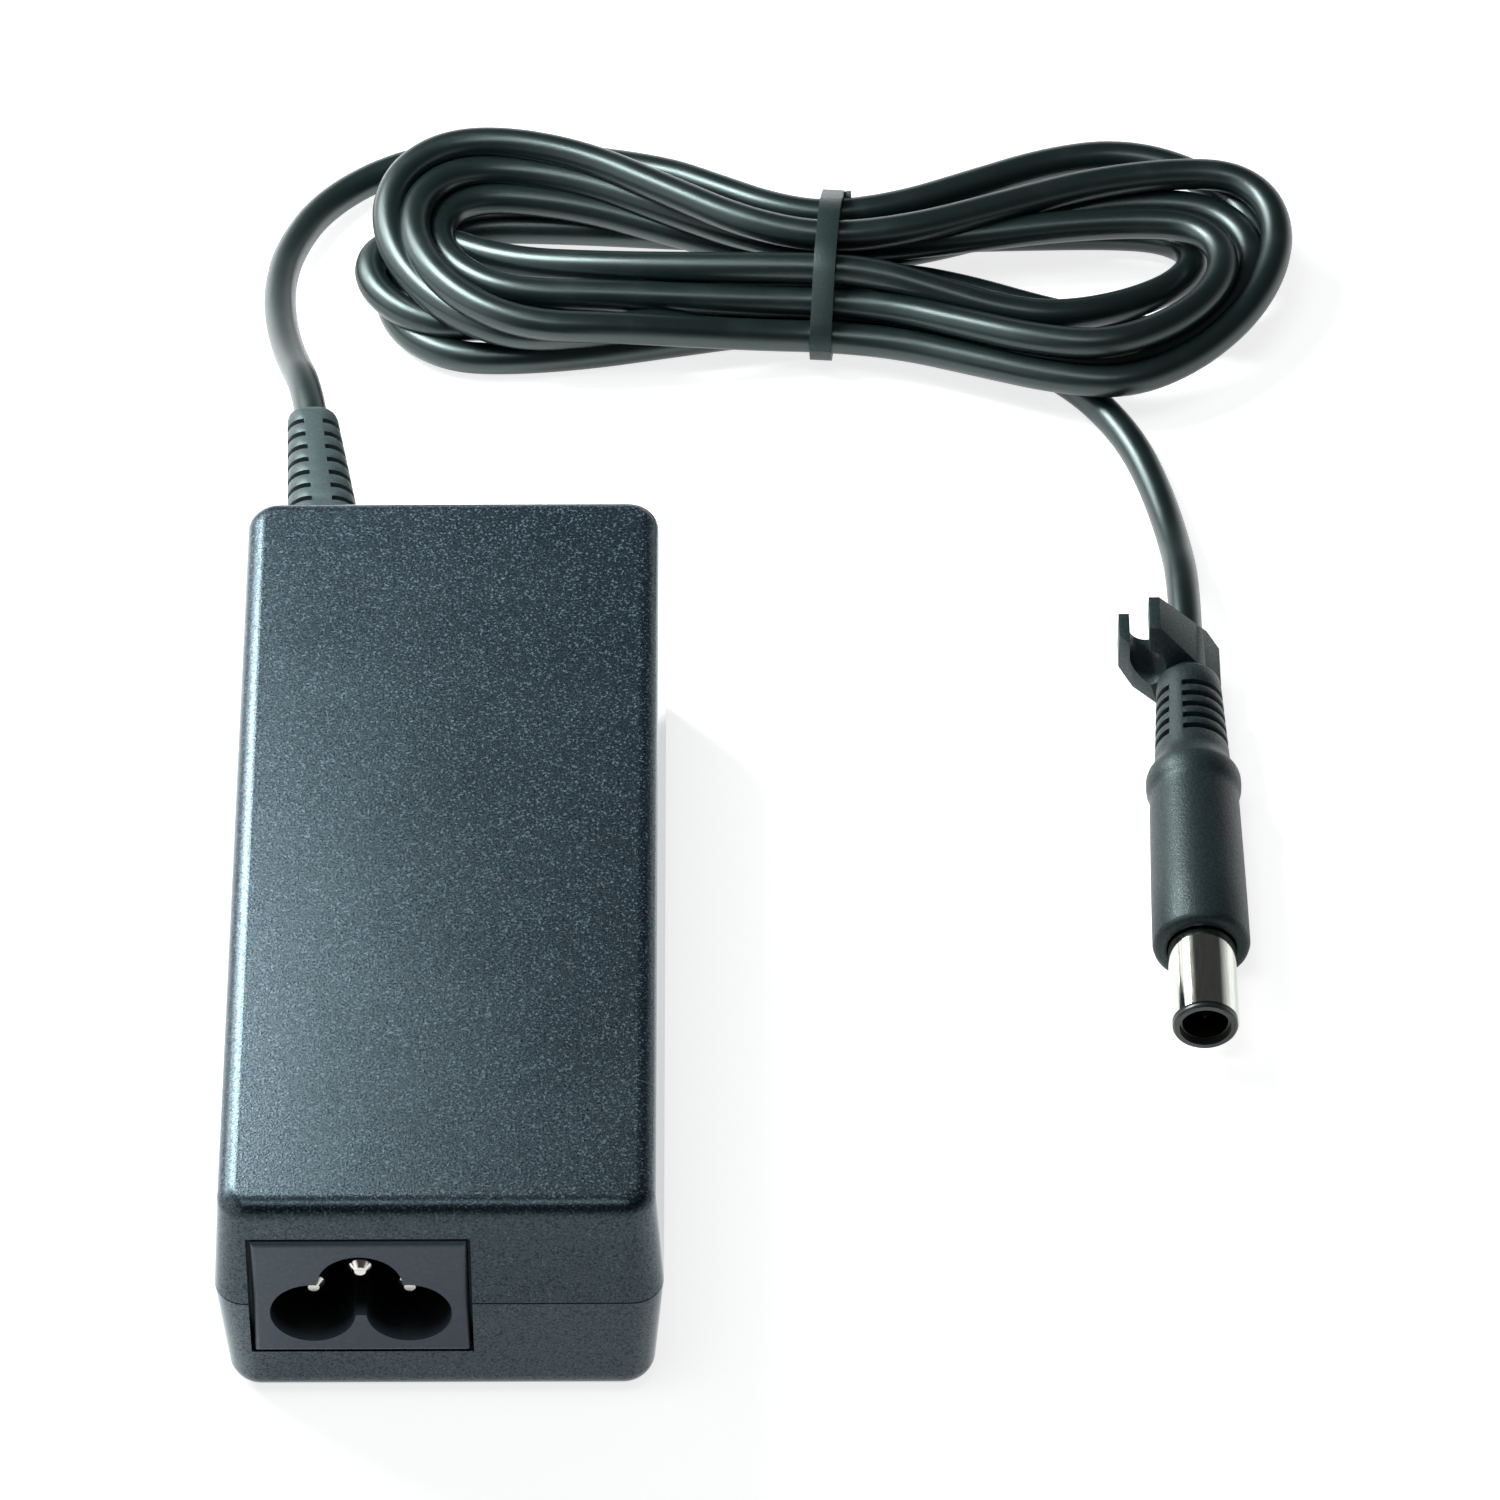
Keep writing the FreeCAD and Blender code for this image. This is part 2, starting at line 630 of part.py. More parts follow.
for pin_name, (pin_x, pin_z, recess) in pin_places.items():
    pin = new_body(pin_name)
    outline = new_sketch(pin, "XY_Plane", pin_name + "_outline")
    tip_y = inlet_face_y + recess
    nose = pin_diameter / 4
    draw_outline(outline, [(as_size(0), tip_y), (pin_diameter / 2 - nose, tip_y),
                           (pin_diameter / 2, tip_y + nose), (pin_diameter / 2, pin_root_y),
                           (pin_root_radius, pin_root_y), (pin_root_radius, pin_end_y),
                           (as_size(0), pin_end_y)])
    turned = pin.newObject("PartDesign::Revolution", pin_name + "_turned")
    turned.Profile = outline
    turned.ReferenceAxis = (outline, ["V_Axis"])
    turned.Angle = 360
    move(pin, pin_x, 0.0, pin_z)
    keep(pin, pin_name)


# Boot: tapered rubber with a top and bottom spine and rows of flexing slots

boot = new_body("boot")
boot_tip_x = boot_centre_x - boot_tip_shift
boot_tip_z = parting_height - boot_tip_drop
boot_base_y = case_rear_y + boot_seat_gap
boot_end_y = case_rear_y + boot_length
boot_sections = []
for label, section_y, width, height, x, z in (
        ("base", boot_base_y, boot_base_width, boot_base_height, boot_centre_x, parting_height),
        ("shoulder", boot_end_y - boot_tip_round * 1.6, boot_tip_width, boot_tip_height,
         boot_tip_x + 0.1, boot_tip_z + 0.1),
        ("brow", boot_end_y - boot_tip_round * 0.5, boot_tip_width - boot_tip_round * 0.6,
         boot_tip_height - boot_tip_round * 0.6, boot_tip_x, boot_tip_z),
        ("tip", boot_end_y, boot_tip_width - boot_tip_round * 1.5,
         boot_tip_height - boot_tip_round * 1.5, boot_tip_x, boot_tip_z)):
    section = new_sketch(boot, "XZ_Plane", "boot_" + label, -section_y)
    draw_rounded(section, width, height, x, z, boot_round)
    boot_sections.append(section)
loft(boot, "AdditiveLoft", boot_sections)
neck = new_sketch(boot, "XZ_Plane", "boot_neck", -boot_base_y - 0.5)
draw_centred_rectangle(neck, boot_neck_width, boot_neck_height, boot_centre_x, parting_height)
pad(boot, neck, wall + boot_seat_gap + boot_flange_set_in + 1)
flange_start_y = case_rear_y - wall - boot_flange_set_in
flange = new_sketch(boot, "XZ_Plane", "boot_flange", -flange_start_y)
draw_centred_rectangle(flange, boot_flange_width, boot_flange_height, boot_centre_x, parting_height)
pad(boot, flange, boot_flange_thick)
for slot_side, slot_label in ((-1, "left"), (1, "right")):
    slot = new_sketch(boot, "XZ_Plane", f"boot_slot_{slot_label}", -(boot_base_y + boot_slot_start))
    inner = boot_spine / 2 * slot_side
    core = boot_core * slot_side
    outer = boot_base_width * slot_side
    lean = boot_tip_shift * -0.5
    middle_x = boot_centre_x + lean
    middle_z = parting_height - boot_tip_drop / 2
    draw_outline(slot, [
        (middle_x + inner, middle_z + boot_base_height), (middle_x + outer, middle_z + boot_base_height),
        (middle_x + outer, middle_z - boot_base_height), (middle_x + inner, middle_z - boot_base_height),
        (middle_x + inner, middle_z - boot_core), (middle_x + core, middle_z - boot_spine / 2),
        (middle_x + core, middle_z + boot_spine / 2), (middle_x + inner, middle_z + boot_core)])
    first_slot = pocket(boot, slot, boot_slot_width)
    repeat_along(boot, [first_slot], "N_Axis", slot,
                 boot_slot_pitch * (boot_slot_count - 1), boot_slot_count)
    boot.Tip.Reversed = True
keep(boot, "cord_boot")


# Cord: round tubes along routes of straight runs, arcs and biarcs

def tube(name, route, diameter):
    """One round solid swept along a wire of tangent lines and arcs."""
    start = route.Edges[0].firstVertex().Point
    away = route.Edges[0].tangentAt(route.Edges[0].FirstParameter)
    ring = Part.Wire([Part.Circle(start, away, diameter.value / 2).toShape()])
    solid = route.makePipeShell([ring], True, False)
    feature = doc.addObject("Part::Feature", name)
    feature.Shape = solid
    section = math.pi * diameter.value ** 2 / 4
    print(f"{name}: length {route.Length:.1f}, section x length {section * route.Length:.0f}, "
          f"volume {solid.Volume:.0f}")
    return feature


def rounded_route(name, points):
    """Straight runs joined by tangent arcs that take 0.45 of the shorter run."""
    corners = [FreeCAD.Vector(*(as_size(number).value for number in point)) for point in points]
    edges = []
    radii = []
    last = corners[0]
    for before, corner, after in zip(corners, corners[1:], corners[2:]):
        come = corner - before
        go = after - corner
        reach = 0.45 * min(come.Length, go.Length)
        half_turn = come.getAngle(go) / 2
        radius = reach / math.tan(half_turn)
        come.normalize()
        go.normalize()
        start = corner - come * reach
        end = corner + go * reach
        inward = (go - come).normalize()
        middle = corner + inward * (radius / math.cos(half_turn) - radius)
        edges.append(Part.LineSegment(last, start).toShape())
        edges.append(Part.Arc(start, middle, end).toShape())
        radii.append(round(radius, 1))
        last = end
    edges.append(Part.LineSegment(last, corners[-1]).toShape())
    print(f"{name}: bend radii {radii}")
    return Part.Wire(edges)


cord_radius = cord_diameter / 2
plug_end_y = plug_face_y + grip_length + collar_length + neck_length
hank_entry = (hank_centre_x - 32.3, hank_centre_y + 24.1, cord_radius)
hank_exit = (hank_centre_x + 28.7, hank_centre_y - 14.9, cord_radius)

lead_points = [
    (boot_tip_x, boot_end_y, boot_tip_z),
    (boot_tip_x, boot_end_y + 9.5, boot_tip_z),
    (boot_tip_x - 5.2, boot_end_y + 22.5, boot_tip_z - 6.0),
    (boot_tip_x - 6.6, boot_end_y + 34.5, boot_tip_z - 10.8),
    (hank_entry[0] - 30.7, hank_entry[1] - 9.8, cord_radius + 0.6),
    (hank_entry[0] - 24.3, hank_entry[1] - 0.2, cord_radius),
    (hank_entry[0] - 13.0, hank_entry[1] + 2.3, cord_radius),
    hank_entry,
]
keep(tube("dc_cord_lead", rounded_route("dc_cord_lead", lead_points), cord_diameter), "dc_cord_lead")

tail_points = [
    (plug_axis_x, plug_end_y, plug_axis_height),
    (plug_axis_x, plug_end_y + 8.0, plug_axis_height),
    (plug_axis_x + 1.9, plug_end_y + 17.5, cord_radius + 0.9),
    (plug_axis_x - 0.6, plug_end_y + 29.0, cord_radius),
    hank_exit,
]
keep(tube("dc_cord_tail", rounded_route("dc_cord_tail", tail_points), cord_diameter), "dc_cord_tail")


# Hank: one unbroken tube wound in eleven strands over three levels, drawn in at the tie

def biarc(start, start_way, end, end_way):
    """Two arcs that leave and arrive along given directions, each as start, control, end."""
    gap = end - start
    along = gap.dot(start_way + end_way)
    turn = 1 - start_way.dot(end_way)
    if turn < 1e-9:
        reach = gap.dot(gap) / (4 * gap.dot(end_way))
    else:
        reach = (-along + math.sqrt(along * along + 2 * turn * gap.dot(gap))) / (2 * turn)
    first = start + start_way * reach
    second = end - end_way * reach
    joint = (first + second) * 0.5
    return [(start, first, joint), (joint, second, end)]


def arc_edge(start, control, end):
    """The arc that is tangent to both legs of start, control and end."""
    chord_middle = (start + end) * 0.5
    rise = control - chord_middle
    half_chord = (end - start).Length / 2
    if rise.Length < 1e-6:
        return Part.LineSegment(start, end).toShape()
    swing = math.atan2(rise.Length, half_chord)
    radius = half_chord / math.sin(swing)
    top = chord_middle + rise.normalize() * (radius - radius * math.cos(swing))
    return Part.Arc(start, top, end).toShape()


def node(x, y, z, way_x, way_y=0.0, way_z=0.0):
    place = FreeCAD.Vector(*(as_size(number).value for number in (x, y, z)))
    return place, FreeCAD.Vector(way_x, way_y, way_z).normalize()


def run_way(start, end):
    """The direction of a straight run between two points given as sizes."""
    return [as_size(last).value - as_size(first).value for first, last in zip(start, end)]


FRONT, REAR = -1, 1
left_end = hank_centre_x - hank_half_run
right_end = hank_centre_x + hank_half_run
waist_y = hank_centre_y + hank_waist_shift
levels = [cord_radius + hank_layer_step * layer for layer in range(3)]


def turn_radius(ring):
    return hank_outer_turn - hank_turn_step * ring


def strand(side, ring_in, row, ring_out, level):
    """One strand from end to end: its turn, its row at the tie and the turn it goes to."""
    way = 1 if side == REAR else -1
    come, go = (left_end, right_end) if side == REAR else (right_end, left_end)
    height = levels[level]
    return [
        node(come, hank_centre_y + turn_radius(ring_in) * side, height, way),
        node(hank_centre_x, waist_y + hank_waist_step * row * side, height + hank_waist_lift, way),
        node(go, hank_centre_y + turn_radius(ring_out) * side, height, way),
    ]


outer_row, inner_row = 1.5, 0.5
hank_nodes = [
    node(*hank_entry, *run_way(lead_points[-2], hank_entry)),
    node(hank_centre_x, waist_y + hank_waist_step * outer_row + 3.2,
         levels[0] + 0.6 + hank_waist_lift, 1),
    node(right_end, hank_centre_y + turn_radius(0), levels[1], 1),
]
hank_nodes += strand(FRONT, 0, outer_row, 0, 1)
hank_nodes += strand(REAR, 0, outer_row, 1, 1)[:-1]
hank_nodes += [node(right_end, hank_centre_y + turn_radius(1), levels[1], 1)]
hank_nodes += strand(FRONT, 1, inner_row, 1, 1)
hank_nodes += strand(REAR, 1, inner_row, 1, 1)[:-1]
climb_y = (waist_y + hank_waist_step * inner_row + hank_centre_y + turn_radius(2)) / 2 - 0.3
hank_nodes += [
    node(hank_centre_x + 17, climb_y, levels[1] + 0.3 + hank_waist_lift * 0.7, 1, 0.1, 0.12),
    node(right_end, hank_centre_y + turn_radius(2), levels[2], 1),
]
hank_nodes += strand(FRONT, 2, inner_row, 1, 2)
hank_nodes += strand(REAR, 1, inner_row, 1, 2)
hank_nodes += strand(FRONT, 1, outer_row, 0, 2)
hank_nodes += strand(REAR, 0, outer_row, 0, 2)
low_y = waist_y - hank_waist_step * outer_row - 2.4
hank_nodes += [
    node(right_end, hank_centre_y - turn_radius(-1), levels[2], -1),
    node(hank_centre_x + 19, hank_centre_y - turn_radius(0) - 2.6, levels[0] + 3.4, -1, 0.32, -0.2),
    node(hank_centre_x - 4, low_y, levels[0] + hank_waist_lift, -1),
    node(left_end + 2, hank_centre_y - 11.0, levels[0], -1),
    node(left_end + 2, waist_y + 3.0, levels[0], 1),
    node(hank_centre_x, waist_y - 0.5, levels[0] + hank_waist_lift, 1),
    node(*hank_exit, *run_way(hank_exit, tail_points[-2])),
]

hank_edges = []
for (start, start_way), (end, end_way) in zip(hank_nodes, hank_nodes[1:]):
    for piece in biarc(start, start_way, end, end_way):
        hank_edges.append(arc_edge(*piece))
hank_route = Part.Wire(hank_edges)
keep(tube("dc_cord_hank", hank_route, cord_diameter), "dc_cord_hank")

# The least gap between one stretch of the hank and another, measured on points
hank_points = []
for edge in hank_edges:
    hank_points += edge.discretize(max(2, int(edge.Length / 1.2)))[:-1]
near_skip = int(cord_diameter.value * 3.2 / 1.2)
least_gap = min(
    (here - there).Length
    for index, here in enumerate(hank_points)
    for there in hank_points[index + near_skip:]
    if abs(here.x - there.x) < 6 and abs(here.y - there.y) < 6) - cord_diameter.value
tightest = min(edge.Curve.Radius for edge in hank_edges if hasattr(edge.Curve, "Radius"))
print(f"dc_cord_hank: least gap to itself {least_gap:.2f}, tightest bend {tightest:.1f}")


# Tie: a closed strap round the waist of the hank

tie = new_body("tie")
tie_outline = new_sketch(tie, "YZ_Plane", "tie_outline", hank_centre_x - tie_width / 2)
tie_middle_y = waist_y + (tie_rear_reach - tie_front_reach) / 2
tie_inner_span = tie_front_reach + tie_rear_reach
tie_middle_z = tie_thickness + tie_inner_height / 2 + 0.05
draw_rounded(tie_outline, tie_inner_span + tie_thickness * 2, tie_inner_height + tie_thickness * 2,
             tie_middle_y, tie_middle_z, tie_round + tie_thickness)
draw_rounded(tie_outline, tie_inner_span, tie_inner_height, tie_middle_y, tie_middle_z, tie_round)
pad(tie, tie_outline, tie_width)
keep(tie, "cord_tie")


# Plug: a moulded grip with collar, slotted strain relief and cord clip, and a round barrel

def turned_body(name, outline):
    """A body of revolution about an axis that runs along Y."""
    body = new_body(name)
    sketch = new_sketch(body, "XY_Plane", name + "_profile")
    draw_outline(sketch, outline)
    turned = body.newObject("PartDesign::Revolution", name + "_turned")
    turned.Profile = sketch
    turned.ReferenceAxis = (sketch, ["V_Axis"])
    turned.Angle = 360
    move(body, plug_axis_x, 0.0, plug_axis_height)
    return body


zero = as_size(0)
body_end = plug_face_y + grip_length
collar_end = body_end + collar_length
neck_end = collar_end + neck_length
barrel_radius = barrel_diameter / 2
root_radius = barrel_radius - barrel_root_step
root_y = plug_face_y - barrel_root_gap
sleeve_seat = plug_face_y + barrel_root
mould_end = sleeve_seat + inner_mould_length
grip = turned_body("plug_grip", [
    (zero, mould_end + seat_gap), (inner_mould_diameter / 2 + seat_gap, mould_end + seat_gap),
    (inner_mould_diameter / 2 + seat_gap, sleeve_seat + seat_gap),
    (root_radius + plug_fit, sleeve_seat + seat_gap), (root_radius + plug_fit, plug_face_y),
    (grip_front_radius - grip_edge, plug_face_y), (grip_front_radius, plug_face_y + grip_edge),
    (grip_rear_radius, body_end - 1.6), (collar_radius, body_end),
    (collar_radius, body_end + 1.6), (neck_front_radius, collar_end),
    (neck_rear_radius, neck_end - clip_length * 0.6), (neck_rear_radius, neck_end),
    (zero, neck_end)])
clip_start = neck_end - clip_length
clip_outline = new_sketch(grip, "XZ_Plane", "clip_outline", -neck_end)
draw_outline(clip_outline, [
    (-clip_left, -clip_jaw_bottom), (-clip_offset, -clip_bottom), (clip_right - 1, -clip_bottom),
    (clip_right, -clip_bottom + 1), (clip_right, clip_slope_end),
    (clip_tip_width - clip_offset, clip_high_jaw), (-clip_offset + 0.1, clip_high_jaw),
    (-clip_offset + 0.1, clip_rise), (-clip_left + clip_jaw_width, clip_rise),
    (-clip_left + clip_jaw_width, clip_low_jaw), (-clip_left, clip_low_jaw)])
pad(grip, clip_outline, clip_length)
clip_hole = new_sketch(grip, "XZ_Plane", "clip_hole", -(clip_start - 0.5))
draw_circle(clip_hole, -clip_offset, clip_rise, clip_bore / 2)
pocket(grip, clip_hole, clip_length + 1)
clip_face = new_sketch(grip, "XY_Plane", "clip_face", -clip_bottom - 1)
draw_outline(clip_face, [
    (-clip_left - 1, clip_start - 1), (-neck_rear_radius, clip_start - 1),
    (-neck_rear_radius, clip_start), (-clip_left - 1, neck_end - clip_left_length)])
pocket(grip, clip_face, clip_high_jaw + clip_bottom + 2, backwards=True)
for slot_side, slot_label in ((-1, "left"), (1, "right")):
    slot = new_sketch(grip, "XZ_Plane", f"neck_slot_{slot_label}", -(collar_end + grip_slot_start))
    inner = grip_spine / 2 * slot_side
    core = grip_core * slot_side
    outer = neck_front_radius * 1.3 * slot_side
    reach = neck_front_radius * 1.3
    draw_outline(slot, [
        (inner, reach), (outer, reach), (outer, -reach), (inner, -reach),
        (inner, -grip_core), (core, -grip_spine / 2), (core, grip_spine / 2), (inner, grip_core)])
    first_slot = pocket(grip, slot, grip_slot_width)
    repeat_along(grip, [first_slot], "N_Axis", slot,
                 grip_slot_pitch * (grip_slot_count - 1), grip_slot_count)
    grip.Tip.Reversed = True
keep(grip, "plug_grip")

tip_y = plug_face_y - barrel_length
sleeve_start = tip_y + tip_ring_length
sleeve_inner = barrel_radius - barrel_wall
insulator_outer = sleeve_inner - plug_fit
insulator_inner = insulator_outer - insulator_wall
inner_sleeve_outer = insulator_inner - plug_fit
inner_sleeve_bore = inner_sleeve_outer - inner_sleeve_wall
core_end = sleeve_seat - 1
keep(turned_body("plug_outer_sleeve", [
    (sleeve_inner, sleeve_start), (barrel_radius, sleeve_start), (barrel_radius, root_y),
    (root_radius, root_y), (root_radius, sleeve_seat), (sleeve_inner, sleeve_seat)]),
    "plug_outer_sleeve")
keep(turned_body("plug_insulator", [
    (insulator_inner, tip_y), (tip_ring_diameter / 2 - 0.2, tip_y),
    (tip_ring_diameter / 2, tip_y + 0.2), (tip_ring_diameter / 2, sleeve_start),
    (insulator_outer, sleeve_start), (insulator_outer, core_end), (insulator_inner, core_end)]),
    "plug_insulator")
keep(turned_body("plug_inner_sleeve", [
    (inner_sleeve_bore, tip_y + inner_sleeve_recess), (inner_sleeve_outer, tip_y + inner_sleeve_recess),
    (inner_sleeve_outer, plug_face_y + inner_sleeve_root),
    (inner_sleeve_bore, plug_face_y + inner_sleeve_root)]), "plug_inner_sleeve")
pin_radius = centre_pin_diameter / 2
keep(turned_body("plug_core", [
    (pin_radius + plug_fit, plug_face_y - plug_core_front),
    (inner_sleeve_bore - plug_fit, plug_face_y - plug_core_front),
    (inner_sleeve_bore - plug_fit, plug_face_y + inner_sleeve_root),
    (pin_radius + plug_fit, plug_face_y + inner_sleeve_root)]), "plug_core")
keep(turned_body("plug_centre_pin", [
    (zero, tip_y + centre_pin_recess), (pin_radius * 0.5, tip_y + centre_pin_recess),
    (pin_radius, tip_y + centre_pin_recess + pin_radius), (pin_radius, sleeve_seat - 0.3),
    (zero, sleeve_seat - 0.3)]), "plug_centre_pin")
keep(turned_body("plug_inner_mould", [
    (zero, sleeve_seat + seat_gap * 2), (inner_mould_diameter / 2, sleeve_seat + seat_gap * 2),
    (inner_mould_diameter / 2, mould_end), (zero, mould_end)]), "plug_inner_mould")


# Circuit board and the parts that stand on it

part_foot = board_top + seat_gap
board = new_body("board")
board_outline = new_sketch(board, "XY_Plane", "board_outline", board_height)
draw_rectangle(board_outline, -board_edge, board_front, board_edge, board_rear)
pad(board, board_outline, board_thick)
board_holes = new_sketch(board, "XY_Plane", "board_holes", board_top)
for hole_side in (-1, 1):
    for hole_y in (board_front + post_diameter, board_rear - post_diameter):
        draw_circle(board_holes, post_x * hole_side, hole_y, board_hole / 2)
pocket(board, board_holes, board_thick)
keep(board, "circuit_board")


def legged(name, body_piece, legs):
    """A component body with wire legs down to the board."""
    pieces = [body_piece]
    for index, (x, y, top) in enumerate(legs):
        pieces.append(rod(f"{name}_leg_{index}", leg_diameter, as_size(top) - part_foot, "z",
                          x, y, part_foot))
    return fuse(name, pieces)


for lead_name, (pin_x, pin_z, recess) in zip(
        ("line_lead", "neutral_lead", "earth_lead"), pin_places.values()):
    lead = rod(lead_name, lead_diameter, pin_z - pin_root_radius - pin_clearance - part_foot, "z",
               pin_x, pin_end_y - pin_tail / 2, part_foot)
    keep(lead, lead_name)

# Front group: fuse, X capacitor, varistor and bridge, one behind the other from the board's edge
edge_x = board_edge - edge_gap
fuse_x = edge_x - fuse_diameter / 2
fuse_z = part_foot + body_lift + fuse_diameter / 2
fuse_rear = board_front + fuse_length
fuse_tube = rod("fuse_tube", fuse_diameter * 0.93, fuse_length - fuse_cap_length, "y",
                fuse_x, board_front + fuse_cap_length / 2, fuse_z)
fuse_caps = [rod("fuse_cap_front", fuse_diameter, fuse_cap_length, "y", fuse_x, board_front, fuse_z),
             rod("fuse_cap_rear", fuse_diameter, fuse_cap_length, "y", fuse_x,
                 fuse_rear - fuse_cap_length, fuse_z)]
keep(legged("fuse", fuse("fuse_body", [fuse_tube] + fuse_caps),
            [(fuse_x, board_front + fuse_cap_length / 2, fuse_z),
             (fuse_x, fuse_rear - fuse_cap_length / 2, fuse_z)]), "fuse")

x_capacitor_left = inlet_centre_x + inlet_width / 2 + part_gap
x_capacitor_width = fuse_x - fuse_diameter / 2 - part_gap - x_capacitor_left
x_capacitor_x = x_capacitor_left + x_capacitor_width / 2
x_capacitor_y = board_front + part_gap + x_capacitor_length / 2
keep(legged("x_capacitor",
            block("x_capacitor_case", x_capacitor_width, x_capacitor_length, x_capacitor_height,
                  x_capacitor_x, x_capacitor_y, part_foot + standing_lift),
            [(x_capacitor_x, x_capacitor_y + x_capacitor_length * 0.38 * end, part_foot + standing_lift * 1.3)
             for end in (-1, 1)]), "x_capacitor")

varistor_x = edge_x - varistor_diameter / 2
varistor_y = fuse_rear + part_gap
varistor_z = part_foot + standing_lift + varistor_diameter * 0.6
keep(legged("varistor", rod("varistor_disc", varistor_diameter, varistor_thick, "y",
                            varistor_x, varistor_y, varistor_z),
            [(varistor_x + varistor_diameter * 0.28 * end, varistor_y + varistor_thick / 2, varistor_z)
             for end in (-1, 1)]), "varistor")

bridge_left = inlet_centre_x + inlet_width / 2 + part_gap
bridge_width = edge_x - bridge_left
bridge_y = varistor_y + varistor_thick + part_gap + bridge_thick / 2
keep(legged("bridge_rectifier",
            block("bridge_case", bridge_width, bridge_thick, bridge_height,
                  bridge_left + bridge_width / 2, bridge_y, part_foot + standing_lift * 3),
            [(bridge_left + bridge_width * share, bridge_y, part_foot + standing_lift * 3.5)
             for share in (0.12, 0.38, 0.62, 0.88)]), "bridge_rectifier")

# Common-mode choke: a flat ring with two windings that each cover a good third of it
choke_reach = (board_edge - part_gap * 1.5) / 2
choke_x = -(choke_reach + part_gap / 2)
choke_y = pin_end_y + part_gap + choke_reach
choke_z = part_foot + body_lift
choke_inner = choke_reach - choke_winding_span


def choke_ring(name, inner_radius, outer_radius, height, lift, angle, turn):
    """A flat ring, or part of one, about the choke's upright axis."""
    outer = rod(name + "_outer", outer_radius * 2, height, "z", choke_x, choke_y, choke_z + lift)
    outer.Angle = angle
    outer.Placement.Rotation = FreeCAD.Rotation(FreeCAD.Vector(0, 0, 1), turn)
    inner = rod(name + "_inner", inner_radius * 2, height + 2, "z", choke_x, choke_y, choke_z + lift - 1)
    return cut(name, outer, inner)


core_inner = choke_inner + choke_wire_layer
core_outer = choke_reach - choke_wire_layer
core_height_in_choke = choke_height - choke_wire_layer * 2
keep(choke_ring("choke_ring", core_inner, core_outer, core_height_in_choke, choke_wire_layer, 360, 0),
     "choke_core")
for side_name, turn in (("left", 110), ("right", -70)):
    winding = choke_ring(f"choke_winding_{side_name}_coil", choke_inner, choke_reach, choke_height,
                         as_size(0), 140, turn)
    passage = choke_ring(f"choke_winding_{side_name}_passage", core_inner - seat_gap, core_outer + seat_gap,
                         core_height_in_choke + seat_gap * 2, choke_wire_layer - seat_gap, 360, 0)
    keep(cut(f"choke_winding_{side_name}", winding, passage), f"choke_winding_{side_name}")

keep(legged("filter_choke",
            rod("filter_choke_drum", filter_choke_diameter, filter_choke_height, "z",
                part_gap + filter_choke_diameter / 2,
                bridge_y + bridge_thick / 2 + part_gap + filter_choke_diameter / 2, part_foot + standing_lift),
            [(part_gap + filter_choke_diameter * share,
              bridge_y + bridge_thick / 2 + part_gap + filter_choke_diameter / 2,
              part_foot + standing_lift * 1.2) for share in (0.28, 0.72)]), "filter_choke")

# Rear group, from the board's rear edge forwards: output cans and choke, then the transformer
can_diameter = board_edge * can_share
can_y = board_rear - edge_gap - can_diameter / 2
can_x = {"b": can_right_x - can_diameter / 2, "a": can_right_x - can_diameter * 1.5 - part_gap}
for letter in ("a", "b"):
    keep(legged(f"output_capacitor_{letter}",
                rod(f"output_can_{letter}", can_diameter, can_height, "z", can_x[letter], can_y,
                    part_foot + body_lift * 2),
                [(can_x[letter] + can_diameter * 0.2 * end, can_y, part_foot + body_lift * 3)
                 for end in (-1, 1)]), f"output_capacitor_{letter}")
output_choke_diameter = board_edge * output_choke_share
output_choke_x = can_right_x + part_gap + output_choke_diameter / 2
output_choke_y = board_rear - edge_gap - output_choke_diameter / 2
keep(legged("output_choke",
            rod("output_choke_drum", output_choke_diameter, output_choke_height, "z",
                output_choke_x, output_choke_y, part_foot + body_lift * 3),
            [(output_choke_x + output_choke_diameter * 0.22 * end, output_choke_y,
              part_foot + body_lift * 4) for end in (-1, 1)]), "output_choke")

# Transformer: a core with two windows, a bobbin round its middle leg and the winding on it
core_width = board_width * core_share
leg_width = core_width * leg_share
side_leg = core_width * side_leg_share
window = (core_width - leg_width - side_leg * 2) / 2
flange_reach = window - seat_gap * 4
core_height = film_roof - core_head_room - part_foot - body_lift
core_y = can_y - can_diameter / 2 - part_gap * 2 - flange_reach - core_depth / 2 - seat_gap
core_base = part_foot + body_lift
core_block = block("core_block", core_width, core_depth, core_height, core_x, core_y, core_base)
windows = fuse("core_windows", [
    block(f"core_window_{side}", window, core_depth + 2, core_height - side_leg * 2,
          core_x + (leg_width + window) / 2 * side, core_y, core_base + side_leg)
    for side in (-1, 1)])
keep(cut("transformer_core", core_block, windows), "transformer_core")


def sleeve_block(name, inner_width, inner_depth, thick, height, lift):
    """A square sleeve round the core's middle leg."""
    outer = block(name + "_outer", inner_width + thick * 2, inner_depth + thick * 2, height,
                  core_x, core_y, core_base + side_leg + lift)
    inner = block(name + "_inner", inner_width, inner_depth, height + 2, core_x, core_y,
                  core_base + side_leg + lift - 1)
    return cut(name, outer, inner)


